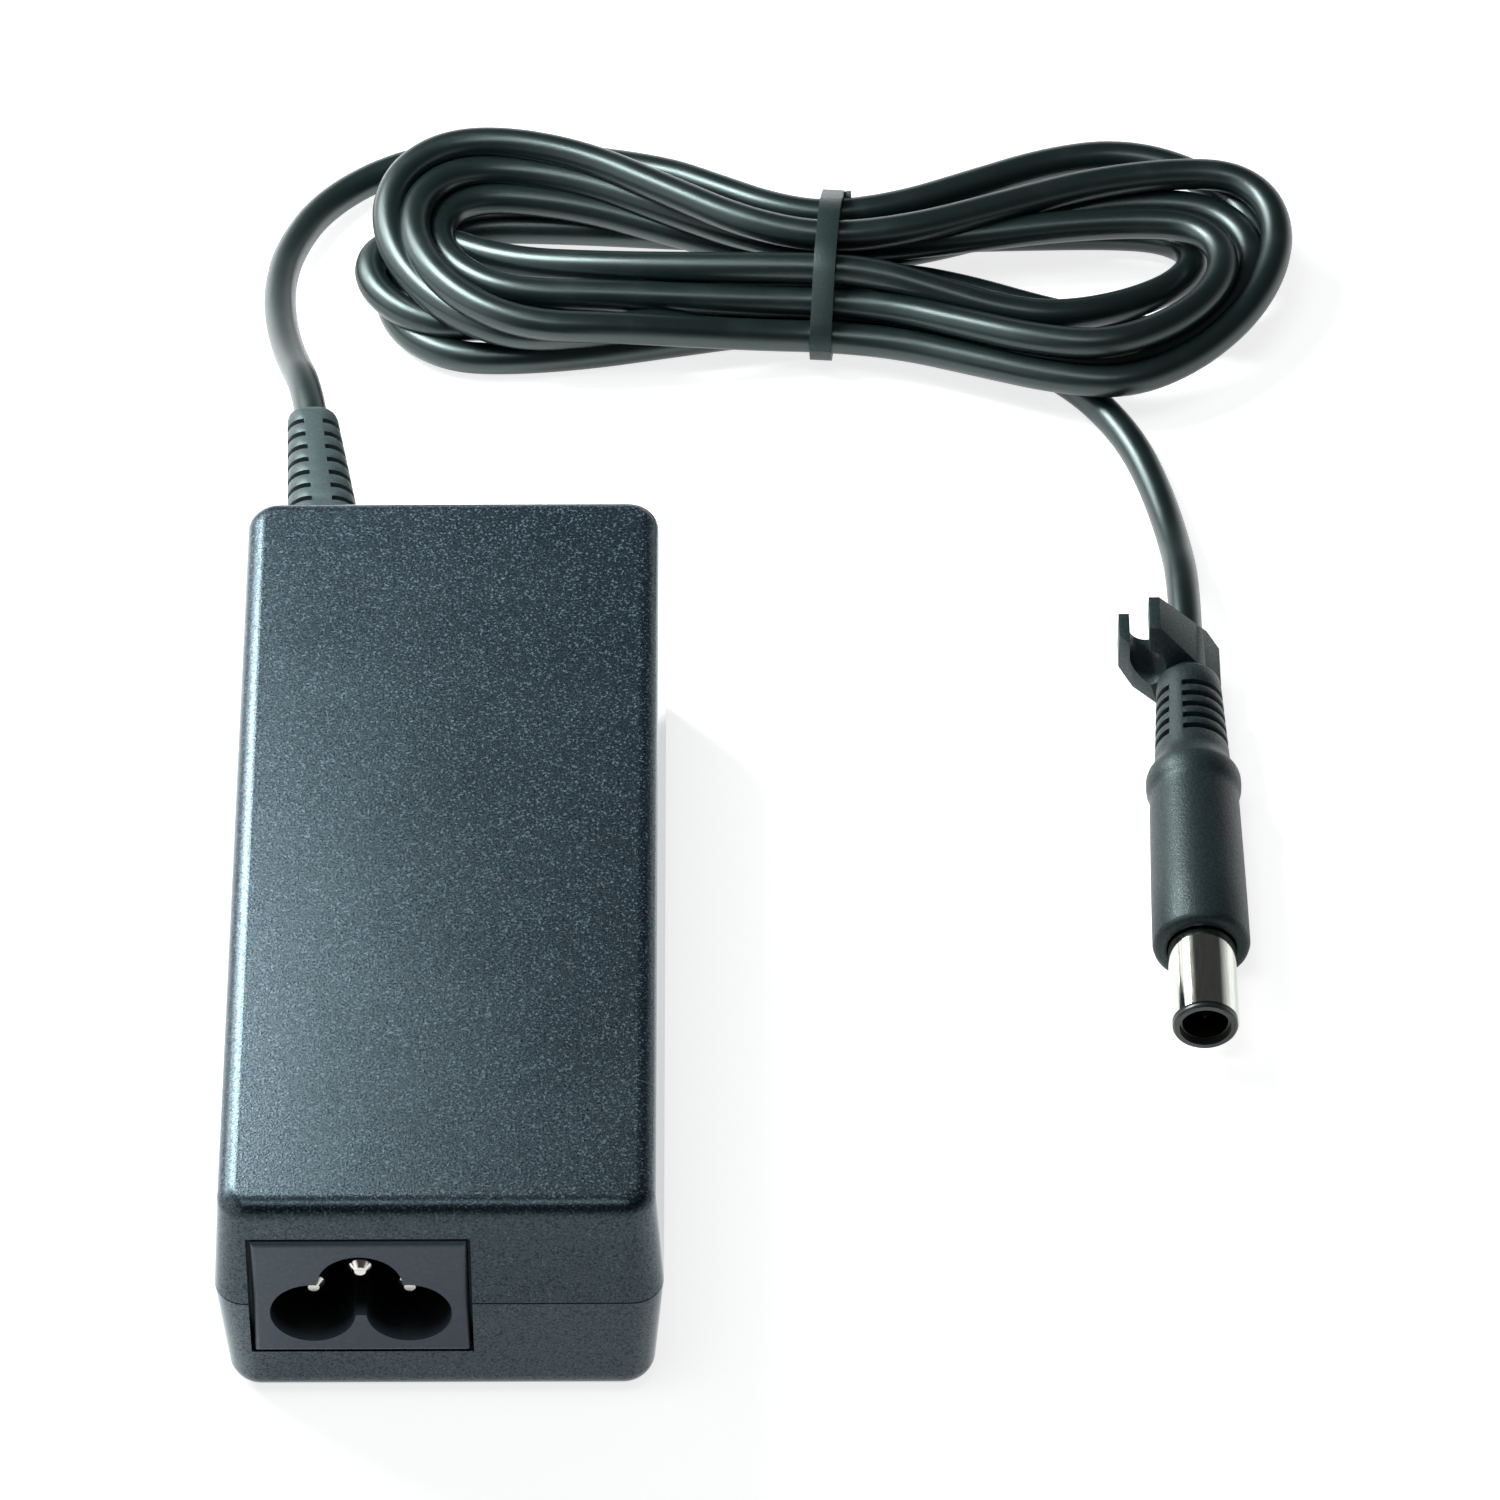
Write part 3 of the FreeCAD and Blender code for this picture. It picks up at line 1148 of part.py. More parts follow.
bobbin_height = core_height - side_leg * 2 - seat_gap * 2
bobbin_bore = (leg_width + seat_gap * 2, core_depth + seat_gap * 2)
bobbin_tube = sleeve_block("bobbin_tube", *bobbin_bore, bobbin_wall, bobbin_height, seat_gap)
bobbin_flanges = [sleeve_block(f"bobbin_flange_{place}", *bobbin_bore, flange_reach, bobbin_wall, lift)
                  for place, lift in (("low", seat_gap), ("high", bobbin_height + seat_gap - bobbin_wall))]
keep(fuse("transformer_bobbin", [bobbin_tube] + bobbin_flanges), "transformer_bobbin")
winding_gap = bobbin_wall + seat_gap
keep(sleeve_block("transformer_winding", bobbin_bore[0] + winding_gap * 2, bobbin_bore[1] + winding_gap * 2,
                  flange_reach - winding_gap - part_gap / 2, bobbin_height - winding_gap * 2,
                  seat_gap + winding_gap), "transformer_winding")

# Middle group, between the front and rear groups
bobbin_front = core_y - core_depth / 2 - seat_gap - flange_reach
bulk_diameter = board_edge - part_gap * 3
bulk_front = choke_y + choke_reach + part_gap * 2
bulk_rear = bobbin_front - part_gap / 2
bulk_x = -board_edge / 2
keep(legged("bulk_capacitor",
            rod("bulk_can", bulk_diameter, bulk_rear - bulk_front, "y", bulk_x, bulk_front,
                part_foot + bulk_diameter / 2 + body_lift),
            [(bulk_x + leg_pitch / 2 * end, bulk_front + leg_diameter, part_foot + bulk_diameter / 4)
             for end in (-1, 1)]), "bulk_capacitor")
y_capacitor_y = bobbin_front - part_gap - y_capacitor_thick
y_capacitor_x = part_gap * 2 + y_capacitor_diameter / 2
y_capacitor_z = part_foot + standing_lift + y_capacitor_diameter * 0.6
keep(legged("y_capacitor", rod("y_capacitor_disc", y_capacitor_diameter, y_capacitor_thick, "y",
                               y_capacitor_x, y_capacitor_y, y_capacitor_z),
            [(y_capacitor_x + y_capacitor_diameter * 0.27 * end, y_capacitor_y + y_capacitor_thick / 2,
              y_capacitor_z) for end in (-1, 1)]), "y_capacitor")
keep(block("controller_chip", chip_width, chip_length, chip_thick, board_edge * 0.27,
           (bulk_front + bulk_rear) / 2, board_height - chip_thick - seat_gap), "controller_chip")

# Heatsinks with their power packages, insulating pads and screws
secondary_rear = board_rear - part_gap * 2.5
secondary_front = secondary_rear - secondary_length
optocoupler_y = secondary_front - part_gap - optocoupler_length / 2
keep(block("optocoupler", optocoupler_width, optocoupler_length, optocoupler_height,
           edge_x - part_gap * 2 - optocoupler_width / 2, optocoupler_y, part_foot), "optocoupler")
primary_front = bulk_front + part_gap
primary_rear = optocoupler_y - optocoupler_length / 2 - part_gap
tab_height = heatsink_height - tab_head_room
package_height = tab_height - tab_above_package
tab_face = heatsink_x - heatsink_thick / 2 - pad_thick
package_face = tab_face - tab_thick
screw_height = part_foot + leg_length + package_height + screw_head / 2 + seat_gap * 2
for stem, part_name, front, rear in (
        ("primary", "switching_transistor", primary_front, primary_rear),
        ("secondary", "output_diode", secondary_front, secondary_rear)):
    middle_y = (front + rear) / 2
    screw_hole = rod(f"{stem}_screw_hole", screw_diameter + seat_gap * 3, tab_face * 0.7, "x",
                     package_face - package_thick, middle_y, screw_height)
    plate = block(f"{stem}_plate", heatsink_thick, rear - front, heatsink_height, heatsink_x,
                  middle_y, part_foot)
    keep(cut(f"{stem}_heatsink", plate, screw_hole), f"{stem}_heatsink")
    sheet_pad = block(f"{stem}_pad_sheet", pad_thick, package_width + 1.0, tab_height + 1.0,
                      tab_face + pad_thick / 2, middle_y, part_foot + leg_length * 0.6)
    keep(cut(f"{stem}_pad", sheet_pad, screw_hole), f"{stem}_insulating_pad")
    tab = block(f"{part_name}_tab", tab_thick, package_width, tab_height,
                tab_face - tab_thick / 2, middle_y, part_foot + leg_length)
    moulding = block(f"{part_name}_moulding", package_thick, package_width, package_height,
                     package_face - package_thick / 2, middle_y, part_foot + leg_length)
    legs = [rod(f"{part_name}_leg_{step}", leg_diameter, leg_length * 1.3, "z",
                package_face - tab_thick * 0.75, middle_y + leg_pitch / 2 * step, part_foot)
            for step in (-1, 0, 1)]
    keep(cut(part_name, fuse(f"{part_name}_solid", [tab, moulding] + legs), screw_hole), part_name)
    shank = rod(f"{stem}_shank", screw_diameter, tab_thick + pad_thick + heatsink_thick, "x",
                package_face, middle_y, screw_height)
    head = rod(f"{stem}_head", screw_head, screw_head_thick, "x", package_face - screw_head_thick,
               middle_y, screw_height)
    keep(fuse(f"{stem}_screw", [shank, head]), f"{stem}_screw")

# The cord's two cores, from the boot's inner end down to the board
dc_lead_drop_y = board_rear - dc_lead_inset
for core_name, side in (("positive_core", -1), ("negative_core", 1)):
    core_x_place = boot_centre_x + dc_lead_spread * side
    route = rounded_route(core_name, [
        (core_x_place, flange_start_y - boot_flange_thick - seat_gap, parting_height),
        (core_x_place, dc_lead_drop_y, parting_height),
        (core_x_place, dc_lead_drop_y, part_foot)])
    keep(tube(core_name, route, dc_lead_diameter), core_name)


def cover(name, half_width, front, rear, thick, top):
    """A sheet folded over the board: a roof and two side walls."""
    foot = board_top + seat_gap * 2
    outer = block(name + "_outer", half_width * 2, rear - front, top - foot, 0, (front + rear) / 2, foot)
    inner = block(name + "_inner", (half_width - thick) * 2, rear - front + 4, top - thick - foot + 2,
                  0, (front + rear) / 2, foot - 2)
    return cut(name, outer, inner)


keep(cover("shield", shield_half_width, shield_front, board_rear, shield_thick, shield_top), "shield")
keep(cover("insulation_film", shield_half_width - shield_thick - film_gap, shield_front + part_gap,
           board_rear - part_gap, film_thick, shield_top - shield_thick - film_gap), "insulation_film")


# Check every object, then write one STEP file for each sub-part

doc.recompute()
os.makedirs("parts", exist_ok=True)
for item in doc.Objects:
    if "Invalid" in item.State or "Error" in item.State:
        raise RuntimeError(f"{item.Label} did not compute")
for item in subparts:
    if item.Shape.isNull() or not item.Shape.isValid():
        raise RuntimeError(f"{item.Label} has no valid shape")
    if len(item.Shape.Solids) != 1:
        raise RuntimeError(f"{item.Label} has {len(item.Shape.Solids)} solids")
for item in subparts:
    item.Shape.exportStep(f"parts/{item.Label}.step")
print(f"{len(subparts)} sub-parts written")
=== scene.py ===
import bpy
import math
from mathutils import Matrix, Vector


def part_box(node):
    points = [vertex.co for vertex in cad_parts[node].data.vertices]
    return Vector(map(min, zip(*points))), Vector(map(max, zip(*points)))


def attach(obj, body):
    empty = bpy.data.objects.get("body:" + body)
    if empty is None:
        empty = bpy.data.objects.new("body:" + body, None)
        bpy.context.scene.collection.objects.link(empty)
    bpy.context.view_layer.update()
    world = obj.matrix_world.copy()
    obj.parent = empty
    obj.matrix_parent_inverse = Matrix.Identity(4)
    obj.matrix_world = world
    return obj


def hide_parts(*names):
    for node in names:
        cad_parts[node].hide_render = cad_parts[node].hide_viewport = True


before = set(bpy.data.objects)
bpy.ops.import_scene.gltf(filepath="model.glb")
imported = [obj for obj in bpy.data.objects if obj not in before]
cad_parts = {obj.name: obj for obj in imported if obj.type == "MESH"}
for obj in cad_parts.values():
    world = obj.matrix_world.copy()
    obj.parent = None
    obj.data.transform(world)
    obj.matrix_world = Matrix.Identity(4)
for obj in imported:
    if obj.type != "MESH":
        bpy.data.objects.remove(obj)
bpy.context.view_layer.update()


# Camera, white table and soft studio light. The adapter is seen from its inlet end and from well
# above. A small soft light stands close by at its back left, a larger one further off, and one
# hangs overhead. The room is pale low down and on the left, and dark above and on the right.

camera_data = bpy.data.cameras.new("camera")
camera_data.lens = 224.5
camera_data.sensor_width = 36.0
camera_data.clip_end = 20.0
camera = bpy.data.objects.new("camera", camera_data)
camera.location = (0.03074, -0.678886, 0.757709)
camera.rotation_euler = (math.radians(43.56), 0.0008, -0.0034)
bpy.context.scene.collection.objects.link(camera)
bpy.context.scene.camera = camera
bpy.context.scene.view_settings.view_transform = "Standard"

bpy.ops.object.select_all(action="DESELECT")
bpy.ops.mesh.primitive_plane_add(size=8.0, location=(0.03, 0.0, 0.0))
table = bpy.context.active_object
table.name = "table"


def calculate(tree, operation, first, second=None):
    """A math node fed by links or plain numbers. It returns its output."""
    node = tree.nodes.new("ShaderNodeMath")
    node.operation = operation
    for index, value in enumerate((first, second)):
        if value is None:
            continue
        if isinstance(value, (int, float)):
            node.inputs[index].default_value = value
        else:
            tree.links.new(value, node.inputs[index])
    return node.outputs[0]


def remap(tree, value, low, high, to_low=0.0, to_high=1.0):
    """A map range node from low and high to two other values, clamped."""
    node = tree.nodes.new("ShaderNodeMapRange")
    node.inputs["From Min"].default_value = low
    node.inputs["From Max"].default_value = high
    node.inputs["To Min"].default_value = to_low
    node.inputs["To Max"].default_value = to_high
    tree.links.new(value, node.inputs["Value"])
    return node.outputs["Result"]


def split_place(tree, place):
    """The X, Y and Z outputs of a place."""
    parts = tree.nodes.new("ShaderNodeSeparateXYZ")
    tree.links.new(place, parts.inputs[0])
    return parts.outputs


def kinds_of_rays(tree):
    """1 for mirror and glass rays, and 1 for rays straight from the camera, else 0."""
    kinds = tree.nodes.new("ShaderNodeLightPath").outputs
    mirrors = calculate(tree, "MAXIMUM", kinds["Is Glossy Ray"], kinds["Is Transmission Ray"])
    return mirrors, kinds["Is Camera Ray"]


table_glow = 0.78
table_white = bpy.data.materials.new("table_white")
table_white.use_nodes = True
tree = table_white.node_tree
surface = tree.nodes["Principled BSDF"]
surface.inputs["Base Color"].default_value = (0.62, 0.62, 0.62, 1.0)
surface.inputs["Roughness"].default_value = 0.8
surface.inputs["Specular IOR Level"].default_value = 0.1
surface.inputs["Emission Color"].default_value = (1.0, 1.0, 1.0, 1.0)
mirrors, camera_rays = kinds_of_rays(tree)
seen = calculate(tree, "MAXIMUM", mirrors, camera_rays)
tree.links.new(calculate(tree, "MULTIPLY", seen, table_glow), surface.inputs["Emission Strength"])
table.data.materials.append(table_white)

# What the surfaces mirror: pale up to a low height, dark above it, and bright towards the left.
# Apart from mirroring, an even and weak fill light reaches them from all sides
pale_up_to = 0.04
dark_from = 0.40
dark_level = 0.06
left_starts = -0.35
left_full = -0.90
left_level = 2.2
fill_light = 0.17

studio = bpy.data.worlds.new("studio")
studio.use_nodes = True
bpy.context.scene.world = studio
tree = studio.node_tree
sky = tree.nodes["Background"]
sky.inputs["Color"].default_value = (1.0, 1.0, 1.0, 1.0)
look = tree.nodes.new("ShaderNodeTexCoord")
direction = split_place(tree, look.outputs["Generated"])
backdrop = remap(tree, direction["Z"], pale_up_to, dark_from, 1.0, dark_level)
left_side = remap(tree, direction["X"], left_starts, left_full, 0.0, left_level)
room = calculate(tree, "MAXIMUM", backdrop, left_side)
mirrors, camera_rays = kinds_of_rays(tree)
reflected = tree.nodes.new("ShaderNodeMix")
reflected.data_type = "FLOAT"
reflected.inputs["A"].default_value = fill_light
tree.links.new(mirrors, reflected.inputs["Factor"])
tree.links.new(room, reflected.inputs["B"])
direct = tree.nodes.new("ShaderNodeMix")
direct.data_type = "FLOAT"
direct.inputs["B"].default_value = 1.0
tree.links.new(camera_rays, direct.inputs["Factor"])
tree.links.new(reflected.outputs["Result"], direct.inputs["A"])
tree.links.new(direct.outputs["Result"], sky.inputs["Strength"])

lamp_colour = (0.95, 1.0, 1.0)


def soft_box(name, place, aim, width, height, power):
    """A rectangular soft light that points at a place on the table."""
    data = bpy.data.lights.new(name, "AREA")
    data.shape = "RECTANGLE"
    data.size = width
    data.size_y = height
    data.energy = power
    data.color = lamp_colour
    lamp = bpy.data.objects.new(name, data)
    lamp.location = place
    lamp.rotation_euler = (Vector(aim) - Vector(place)).to_track_quat("-Z", "Y").to_euler()
    lamp.visible_camera = False
    bpy.context.scene.collection.objects.link(lamp)


soft_box("near_left_box", place=(-0.094, 0.136, 0.180), aim=(-0.01, 0.0, 0.03),
         width=0.08, height=0.12, power=1.0)
soft_box("far_left_box", place=(-0.50, 0.42, 0.38), aim=(0.02, 0.05, 0.0),
         width=0.34, height=0.34, power=3.5)
soft_box("top_box", place=(-0.10, -0.16, 0.9), aim=(0.03, 0.03, 0.0),
         width=0.40, height=0.26, power=1.5)


# Low-voltage cord: a 3.7 mm two-core cord in a soft black jacket, moulded into the boot at one end
# and into the plug at the other. It is wound into a flat hank of ten turns that fan out at both
# ends and meet at the tie, and it lies on the table wherever no other strand is under it.

MM = 0.001
cord_diameter = 0.0037

# Where each of the eleven strands passes the tie: y and z, in mm
tie_x = 42.0
strands_at_tie = [
    (122.0, 6.2), (114.5, 2.7), (109.8, 9.5), (121.9, 2.7), (107.1, 2.7), (118.2, 2.7),
    (107.4, 6.3), (116.6, 6.1), (103.6, 4.4), (114.5, 9.7), (110.8, 2.7),
]

# Each turn: where it starts to bend, its far end (x, y, rise) and where it is straight again
turns = [
    ((76.0, 132.4, 6.5), (93.4, 118.0, 0.0), (80.0, 105.4, 2.6)),
    ((-2.0, 105.6, 4.2), (-11.7, 113.6, 0.6), (-4.0, 120.0, 4.7)),
    ((68.0, 104.3, 6.8), (84.6, 114.5, 0.0), (75.0, 123.2, 2.1)),
    ((1.0, 124.8, 2.0), (-9.4, 111.8, 0.0), (4.0, 102.3, 2.1)),
    ((74.0, 97.9, 5.6), (91.5, 112.0, 0.4), (80.0, 124.0, 6.3)),
    ((4.0, 125.6, 6.1), (-3.8, 117.6, 0.2), (7.0, 108.2, 7.0)),
    ((73.0, 97.0, 9.2), (88.0, 109.6, 0.2), (78.0, 119.0, 8.0)),
    ((4.0, 128.3, 8.0), (-6.6, 116.0, 1.0), (8.0, 101.2, 8.6)),
    ((76.0, 93.9, 6.0), (94.4, 113.5, 0.0), (83.0, 125.9, 9.4)),
    ((4.0, 130.8, 10.3), (-9.9, 119.0, 0.2), (6.0, 101.8, 6.3)),
]

# The second strand stays near the middle for a while and the third is pressed down by the turns
# over it, so their ways on one side of the tie are their own
second_strand = [(67.0, 110.0, 2.1), (58.0, 113.6, 2.3), (50.0, 115.4, 2.6)]
third_strand = [(4.5, 114.8, 5.8), (15.5, 112.2, 7.5), (29.0, 110.7, 8.7)]

# The lead from the boot to the hank, and the tail from the hank to the plug
lead = [
    (-16.9, 79.2, 14.66), (-17.8, 85.9, 13.9), (-19.7, 93.4, 10.4), (-21.3, 101.6, 7.6),
    (-22.05, 110.2, 5.4), (-21.2, 119.0, 3.7), (-17.4, 128.0, 2.7), (-9.6, 134.6, 2.5),
    (0.0, 136.8, 3.0), (9.0, 134.8, 4.1),
]
tail = [
    (50.0, 109.4, 2.3), (58.0, 106.4, 1.9), (66.2, 101.6, 1.9), (72.4, 95.8, 1.9), (76.8, 88.4, 1.9),
    (79.4, 80.2, 1.9), (81.0, 71.4, 2.6), (81.6, 62.6, 5.35), (81.6, 54.2, 5.35),
]


def ease(share):
    """A share from 0 to 1 that starts and stops gently."""
    return share * share * (3 - 2 * share)


def fan_out(tie_point, end, shares):
    """Points between the tie and the place where a turn begins, eased at both."""
    y, z = tie_point
    points = []
    for share in shares:
        blend = ease(share)
        points.append((tie_x + (end[0] - tie_x) * share,
                       y + (end[1] - y) * blend,
                       z + (end[2] - z) * blend))
    return points


def turn_points(start, far, end):
    """Seven points round one end of the hank."""
    points = []
    for degrees in (-90, -60, -30, 0, 30, 60, 90):
        along = (1 + math.sin(math.radians(degrees))) / 2
        bulge = math.cos(math.radians(degrees))
        middle = [start[axis] + (end[axis] - start[axis]) * along for axis in range(3)]
        half = [(start[axis] + end[axis]) / 2 for axis in range(3)]
        points.append((middle[0] + (far[0] - half[0]) * bulge,
                       middle[1] + (far[1] - half[1]) * bulge,
                       middle[2] + far[2] * bulge))
    return points


towards_tie = (0.75, 0.5, 0.25)
away_from_tie = (0.25, 0.5, 0.75)
route = list(lead)
arrival = (16.0, 132.6, 5.2)
for tie_point, turn in zip(strands_at_tie, turns):
    if turn is turns[1]:
        route += second_strand
    elif turn is turns[2]:
        route += third_strand
    else:
        route += fan_out(tie_point, arrival, towards_tie)
    route.append((tie_x, tie_point[0], tie_point[1]))
    route += fan_out(tie_point, turn[0], away_from_tie)
    route += turn_points(*turn)
    arrival = turn[2]
last_tie_point = strands_at_tie[-1]
route += fan_out(last_tie_point, arrival, towards_tie)
route.append((tie_x, last_tie_point[0], last_tie_point[1]))
route += tail

cord_curve = bpy.data.curves.new("dc_cord", "CURVE")
cord_curve.dimensions = "3D"
cord_curve.bevel_depth = 1.0
cord_curve.bevel_resolution = 6
cord_curve.resolution_u = 8
cord_curve.use_fill_caps = True
spline = cord_curve.splines.new("NURBS")
spline.points.add(len(route) - 1)
for point, (x, y, z) in zip(spline.points, route):
    point.co = (x * MM, y * MM, z * MM, 1.0)
    point.radius = cord_diameter / 2
spline.order_u = 3
spline.use_endpoint_u = True
cord = bpy.data.objects.new("dc_cord", cord_curve)
bpy.context.scene.collection.objects.link(cord)
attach(cord, "root")
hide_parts("dc_cord_lead", "dc_cord_hank", "dc_cord_tail")

COLOUR = "NodeSocketColor"
NUMBER = "NodeSocketFloat"
PLACE = "NodeSocketVector"


def new_group(name, inputs, outputs):
    """An empty shader group with named sockets."""
    group = bpy.data.node_groups.new(name, "ShaderNodeTree")
    for socket, kind, value in inputs:
        made = group.interface.new_socket(socket, in_out="INPUT", socket_type=kind)
        if value is not None:
            made.default_value = value
    for socket, kind in outputs:
        group.interface.new_socket(socket, in_out="OUTPUT", socket_type=kind)
    return group, group.nodes.new("NodeGroupInput"), group.nodes.new("NodeGroupOutput")


def blend_colours(tree, factor, first, second):
    """A colour mix fed by links or plain colours. It returns its output."""
    node = tree.nodes.new("ShaderNodeMix")
    node.data_type = "RGBA"
    tree.links.new(factor, node.inputs["Factor"])
    for socket, value in ((node.inputs[6], first), (node.inputs[7], second)):
        if isinstance(value, tuple):
            socket.default_value = (*value, 1.0)
        else:
            tree.links.new(value, socket)
    return node.outputs[2]


def noise(tree, place, scale, detail=2.0):
    """A noise texture. The scale may be a link or a number."""
    node = tree.nodes.new("ShaderNodeTexNoise")
    node.inputs["Detail"].default_value = detail
    tree.links.new(place, node.inputs["Vector"])
    if isinstance(scale, (int, float)):
        node.inputs["Scale"].default_value = scale
    else:
        tree.links.new(scale, node.inputs["Scale"])
    return node.outputs["Fac"]


# Fine grain of moulded plastic, with glossier flecks, and a slow change of gloss from handling
fleck_starts = 0.42
fleck_full = 0.68
fleck_gloss = 0.14
handling_scale = 60.0
handling_levels = (0.3, 0.7)
handling_change = 0.02
grain, start, end = new_group(
    "moulded_grain",
    [("Vector", PLACE, None), ("Colour", COLOUR, (0.05, 0.05, 0.05, 1.0)),
     ("Fleck", COLOUR, (0.1, 0.1, 0.1, 1.0)), ("Grain Scale", NUMBER, 3000.0),
     ("Fleck Share", NUMBER, 0.3), ("Roughness", NUMBER, 0.5)],
    [("Colour", COLOUR), ("Height", NUMBER), ("Roughness", NUMBER)])
fine = noise(grain, start.outputs["Vector"], start.outputs["Grain Scale"])
fleck = remap(grain, fine, fleck_starts, fleck_full)
share = calculate(grain, "MULTIPLY", fleck, start.outputs["Fleck Share"])
speckled = blend_colours(grain, share, start.outputs["Colour"], start.outputs["Fleck"])
touched = noise(grain, start.outputs["Vector"], handling_scale, detail=3.0)
handled = remap(grain, touched, *handling_levels, -handling_change, handling_change)
rough = calculate(grain, "ADD", handled, start.outputs["Roughness"])
rough = calculate(grain, "SUBTRACT", rough, calculate(grain, "MULTIPLY", share, fleck_gloss))
grain.links.new(speckled, end.inputs["Colour"])
grain.links.new(fleck, end.inputs["Height"])
grain.links.new(rough, end.inputs["Roughness"])


def new_material(name, metallic=0.0, specular=0.5, turn=(0.0, 0.0, 0.0), shift=(0.0, 0.0, 0.0),
                 stretch=(1.0, 1.0, 1.0), sheen_colour=(1.0, 1.0, 1.0)):
    """A material with a mapping node on object coordinates. It returns the material, its tree,
    its shader and the mapped place."""
    material = bpy.data.materials.new(name)
    material.use_nodes = True
    tree = material.node_tree
    surface = tree.nodes["Principled BSDF"]
    surface.inputs["Metallic"].default_value = metallic
    surface.inputs["Specular IOR Level"].default_value = specular
    surface.inputs["Specular Tint"].default_value = (*sheen_colour, 1.0)
    place = tree.nodes.new("ShaderNodeTexCoord")
    mapping = tree.nodes.new("ShaderNodeMapping")
    mapping.inputs["Location"].default_value = shift
    mapping.inputs["Rotation"].default_value = turn
    mapping.inputs["Scale"].default_value = stretch
    tree.links.new(place.outputs["Object"], mapping.inputs["Vector"])
    return material, tree, surface, mapping.outputs["Vector"]


def add_grain(tree, place, colour, fleck, size, share, roughness):
    """Put the grain group in a material. The size is in mm."""
    node = tree.nodes.new("ShaderNodeGroup")
    node.node_tree = grain
    for socket, value in (("Colour", colour), ("Fleck", fleck)):
        if isinstance(value, tuple):
            node.inputs[socket].default_value = (*value, 1.0)
        else:
            tree.links.new(value, node.inputs[socket])
    node.inputs["Grain Scale"].default_value = 1.0 / (size * MM)
    node.inputs["Fleck Share"].default_value = share
    node.inputs["Roughness"].default_value = roughness
    tree.links.new(place, node.inputs["Vector"])
    return node


def raise_surface(tree, surface, height, distance, strength=1.0):
    """A bump from a height. The distance is in mm."""
    bump = tree.nodes.new("ShaderNodeBump")
    if isinstance(strength, (int, float)):
        bump.inputs["Strength"].default_value = strength
    else:
        tree.links.new(strength, bump.inputs["Strength"])
    bump.inputs["Distance"].default_value = distance * MM
    tree.links.new(height, bump.inputs["Height"])
    tree.links.new(bump.outputs["Normal"], surface.inputs["Normal"])


def cover(tree, surface, colour, roughness, height, distance):
    """Join a colour, a roughness and a bump to the shader. The distance is in mm."""
    tree.links.new(colour, surface.inputs["Base Color"])
    tree.links.new(roughness, surface.inputs["Roughness"])
    raise_surface(tree, surface, height, distance)


# Jacket: near black, with a soft cool gloss and a trace of powder
cool_sheen = (0.80, 0.99, 0.97)
powder_colour = (0.028, 0.042, 0.042)
powder_scale = 220.0
powder_levels = (0.52, 0.75)
powder_share = 0.12
powder_dulls = 0.3
jacket, tree, surface, place = new_material("cord_jacket", specular=0.7, sheen_colour=cool_sheen)
body = add_grain(tree, place, colour=(0.003, 0.007, 0.007), fleck=(0.006, 0.012, 0.012),
                 size=0.5, share=0.25, roughness=0.33)
powder_noise = noise(tree, place, powder_scale, detail=4.0)
powder = remap(tree, powder_noise, *powder_levels, 0.0, powder_share)
dusty = blend_colours(tree, powder, body.outputs["Colour"], powder_colour)
duller = calculate(tree, "MULTIPLY", powder, powder_dulls)
dull = calculate(tree, "ADD", body.outputs["Roughness"], duller)
cover(tree, surface, dusty, dull, body.outputs["Height"], distance=0.0008)
cord_curve.materials.append(jacket)


# Upper and lower shells: two dark slate mouldings with a fine sparkling texture, welded together
# along a thin line halfway up. Their walls lean inwards and all their edges are rounded.

parting_height = 15.9
seam_width = 0.14
seam_outer_width = 0.30
seam_colour = (0.0005, 0.0005, 0.0005)
seam_depth = 7.0
sparkle_size = 0.26
sparkle_levels = (0.56, 0.72)
sparkle_share = 0.8
sparkle_colour = (0.095, 0.135, 0.165)
pit_size = 0.30
pit_levels = (0.52, 0.36)
pit_share = 0.52
pit_colour = (0.005, 0.009, 0.011)
texture_height = 0.006

# Seen from a slant the texture looks smoother: where that starts, where it is full, and how much
slant_starts = 0.60
slant_full = 0.90
slant_smooths = -0.28
slant_height = 0.15


def dress(node, material):
    """Give a CAD node its finish."""
    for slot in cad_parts[node].material_slots:
        slot.material = material


shell_plastic, tree, surface, place = new_material(
    "shell_plastic", specular=0.6, sheen_colour=(0.64, 0.88, 1.0))
body = add_grain(tree, place, colour=(0.003, 0.006, 0.010), fleck=(0.013, 0.021, 0.030),
                 size=0.24, share=0.8, roughness=0.32)
bright_noise = noise(tree, place, 1.0 / (sparkle_size * MM), detail=1.0)
dark_noise = noise(tree, place, 1.0 / (pit_size * MM), detail=1.0)
sparkle = remap(tree, bright_noise, *sparkle_levels, 0.0, sparkle_share)
dark_pits = remap(tree, dark_noise, *pit_levels, 0.0, pit_share)
speckled = blend_colours(tree, dark_pits, body.outputs["Colour"], pit_colour)
speckled = blend_colours(tree, sparkle, speckled, sparkle_colour)
height_up = split_place(tree, place)["Z"]
off_seam = calculate(tree, "ABSOLUTE", calculate(tree, "SUBTRACT", height_up, parting_height * MM))
seam = remap(tree, off_seam, seam_width / 2 * MM, seam_outer_width / 2 * MM, 1.0, 0.0)
tree.links.new(blend_colours(tree, seam, speckled, seam_colour), surface.inputs["Base Color"])
tree.links.new(calculate(tree, "MAXIMUM", seam, dark_pits), surface.inputs["Metallic"])
edge_on = tree.nodes.new("ShaderNodeLayerWeight")
edge_on.inputs["Blend"].default_value = 0.5
facing = edge_on.outputs["Facing"]
smoother = remap(tree, facing, slant_starts, slant_full, 0.0, slant_smooths)
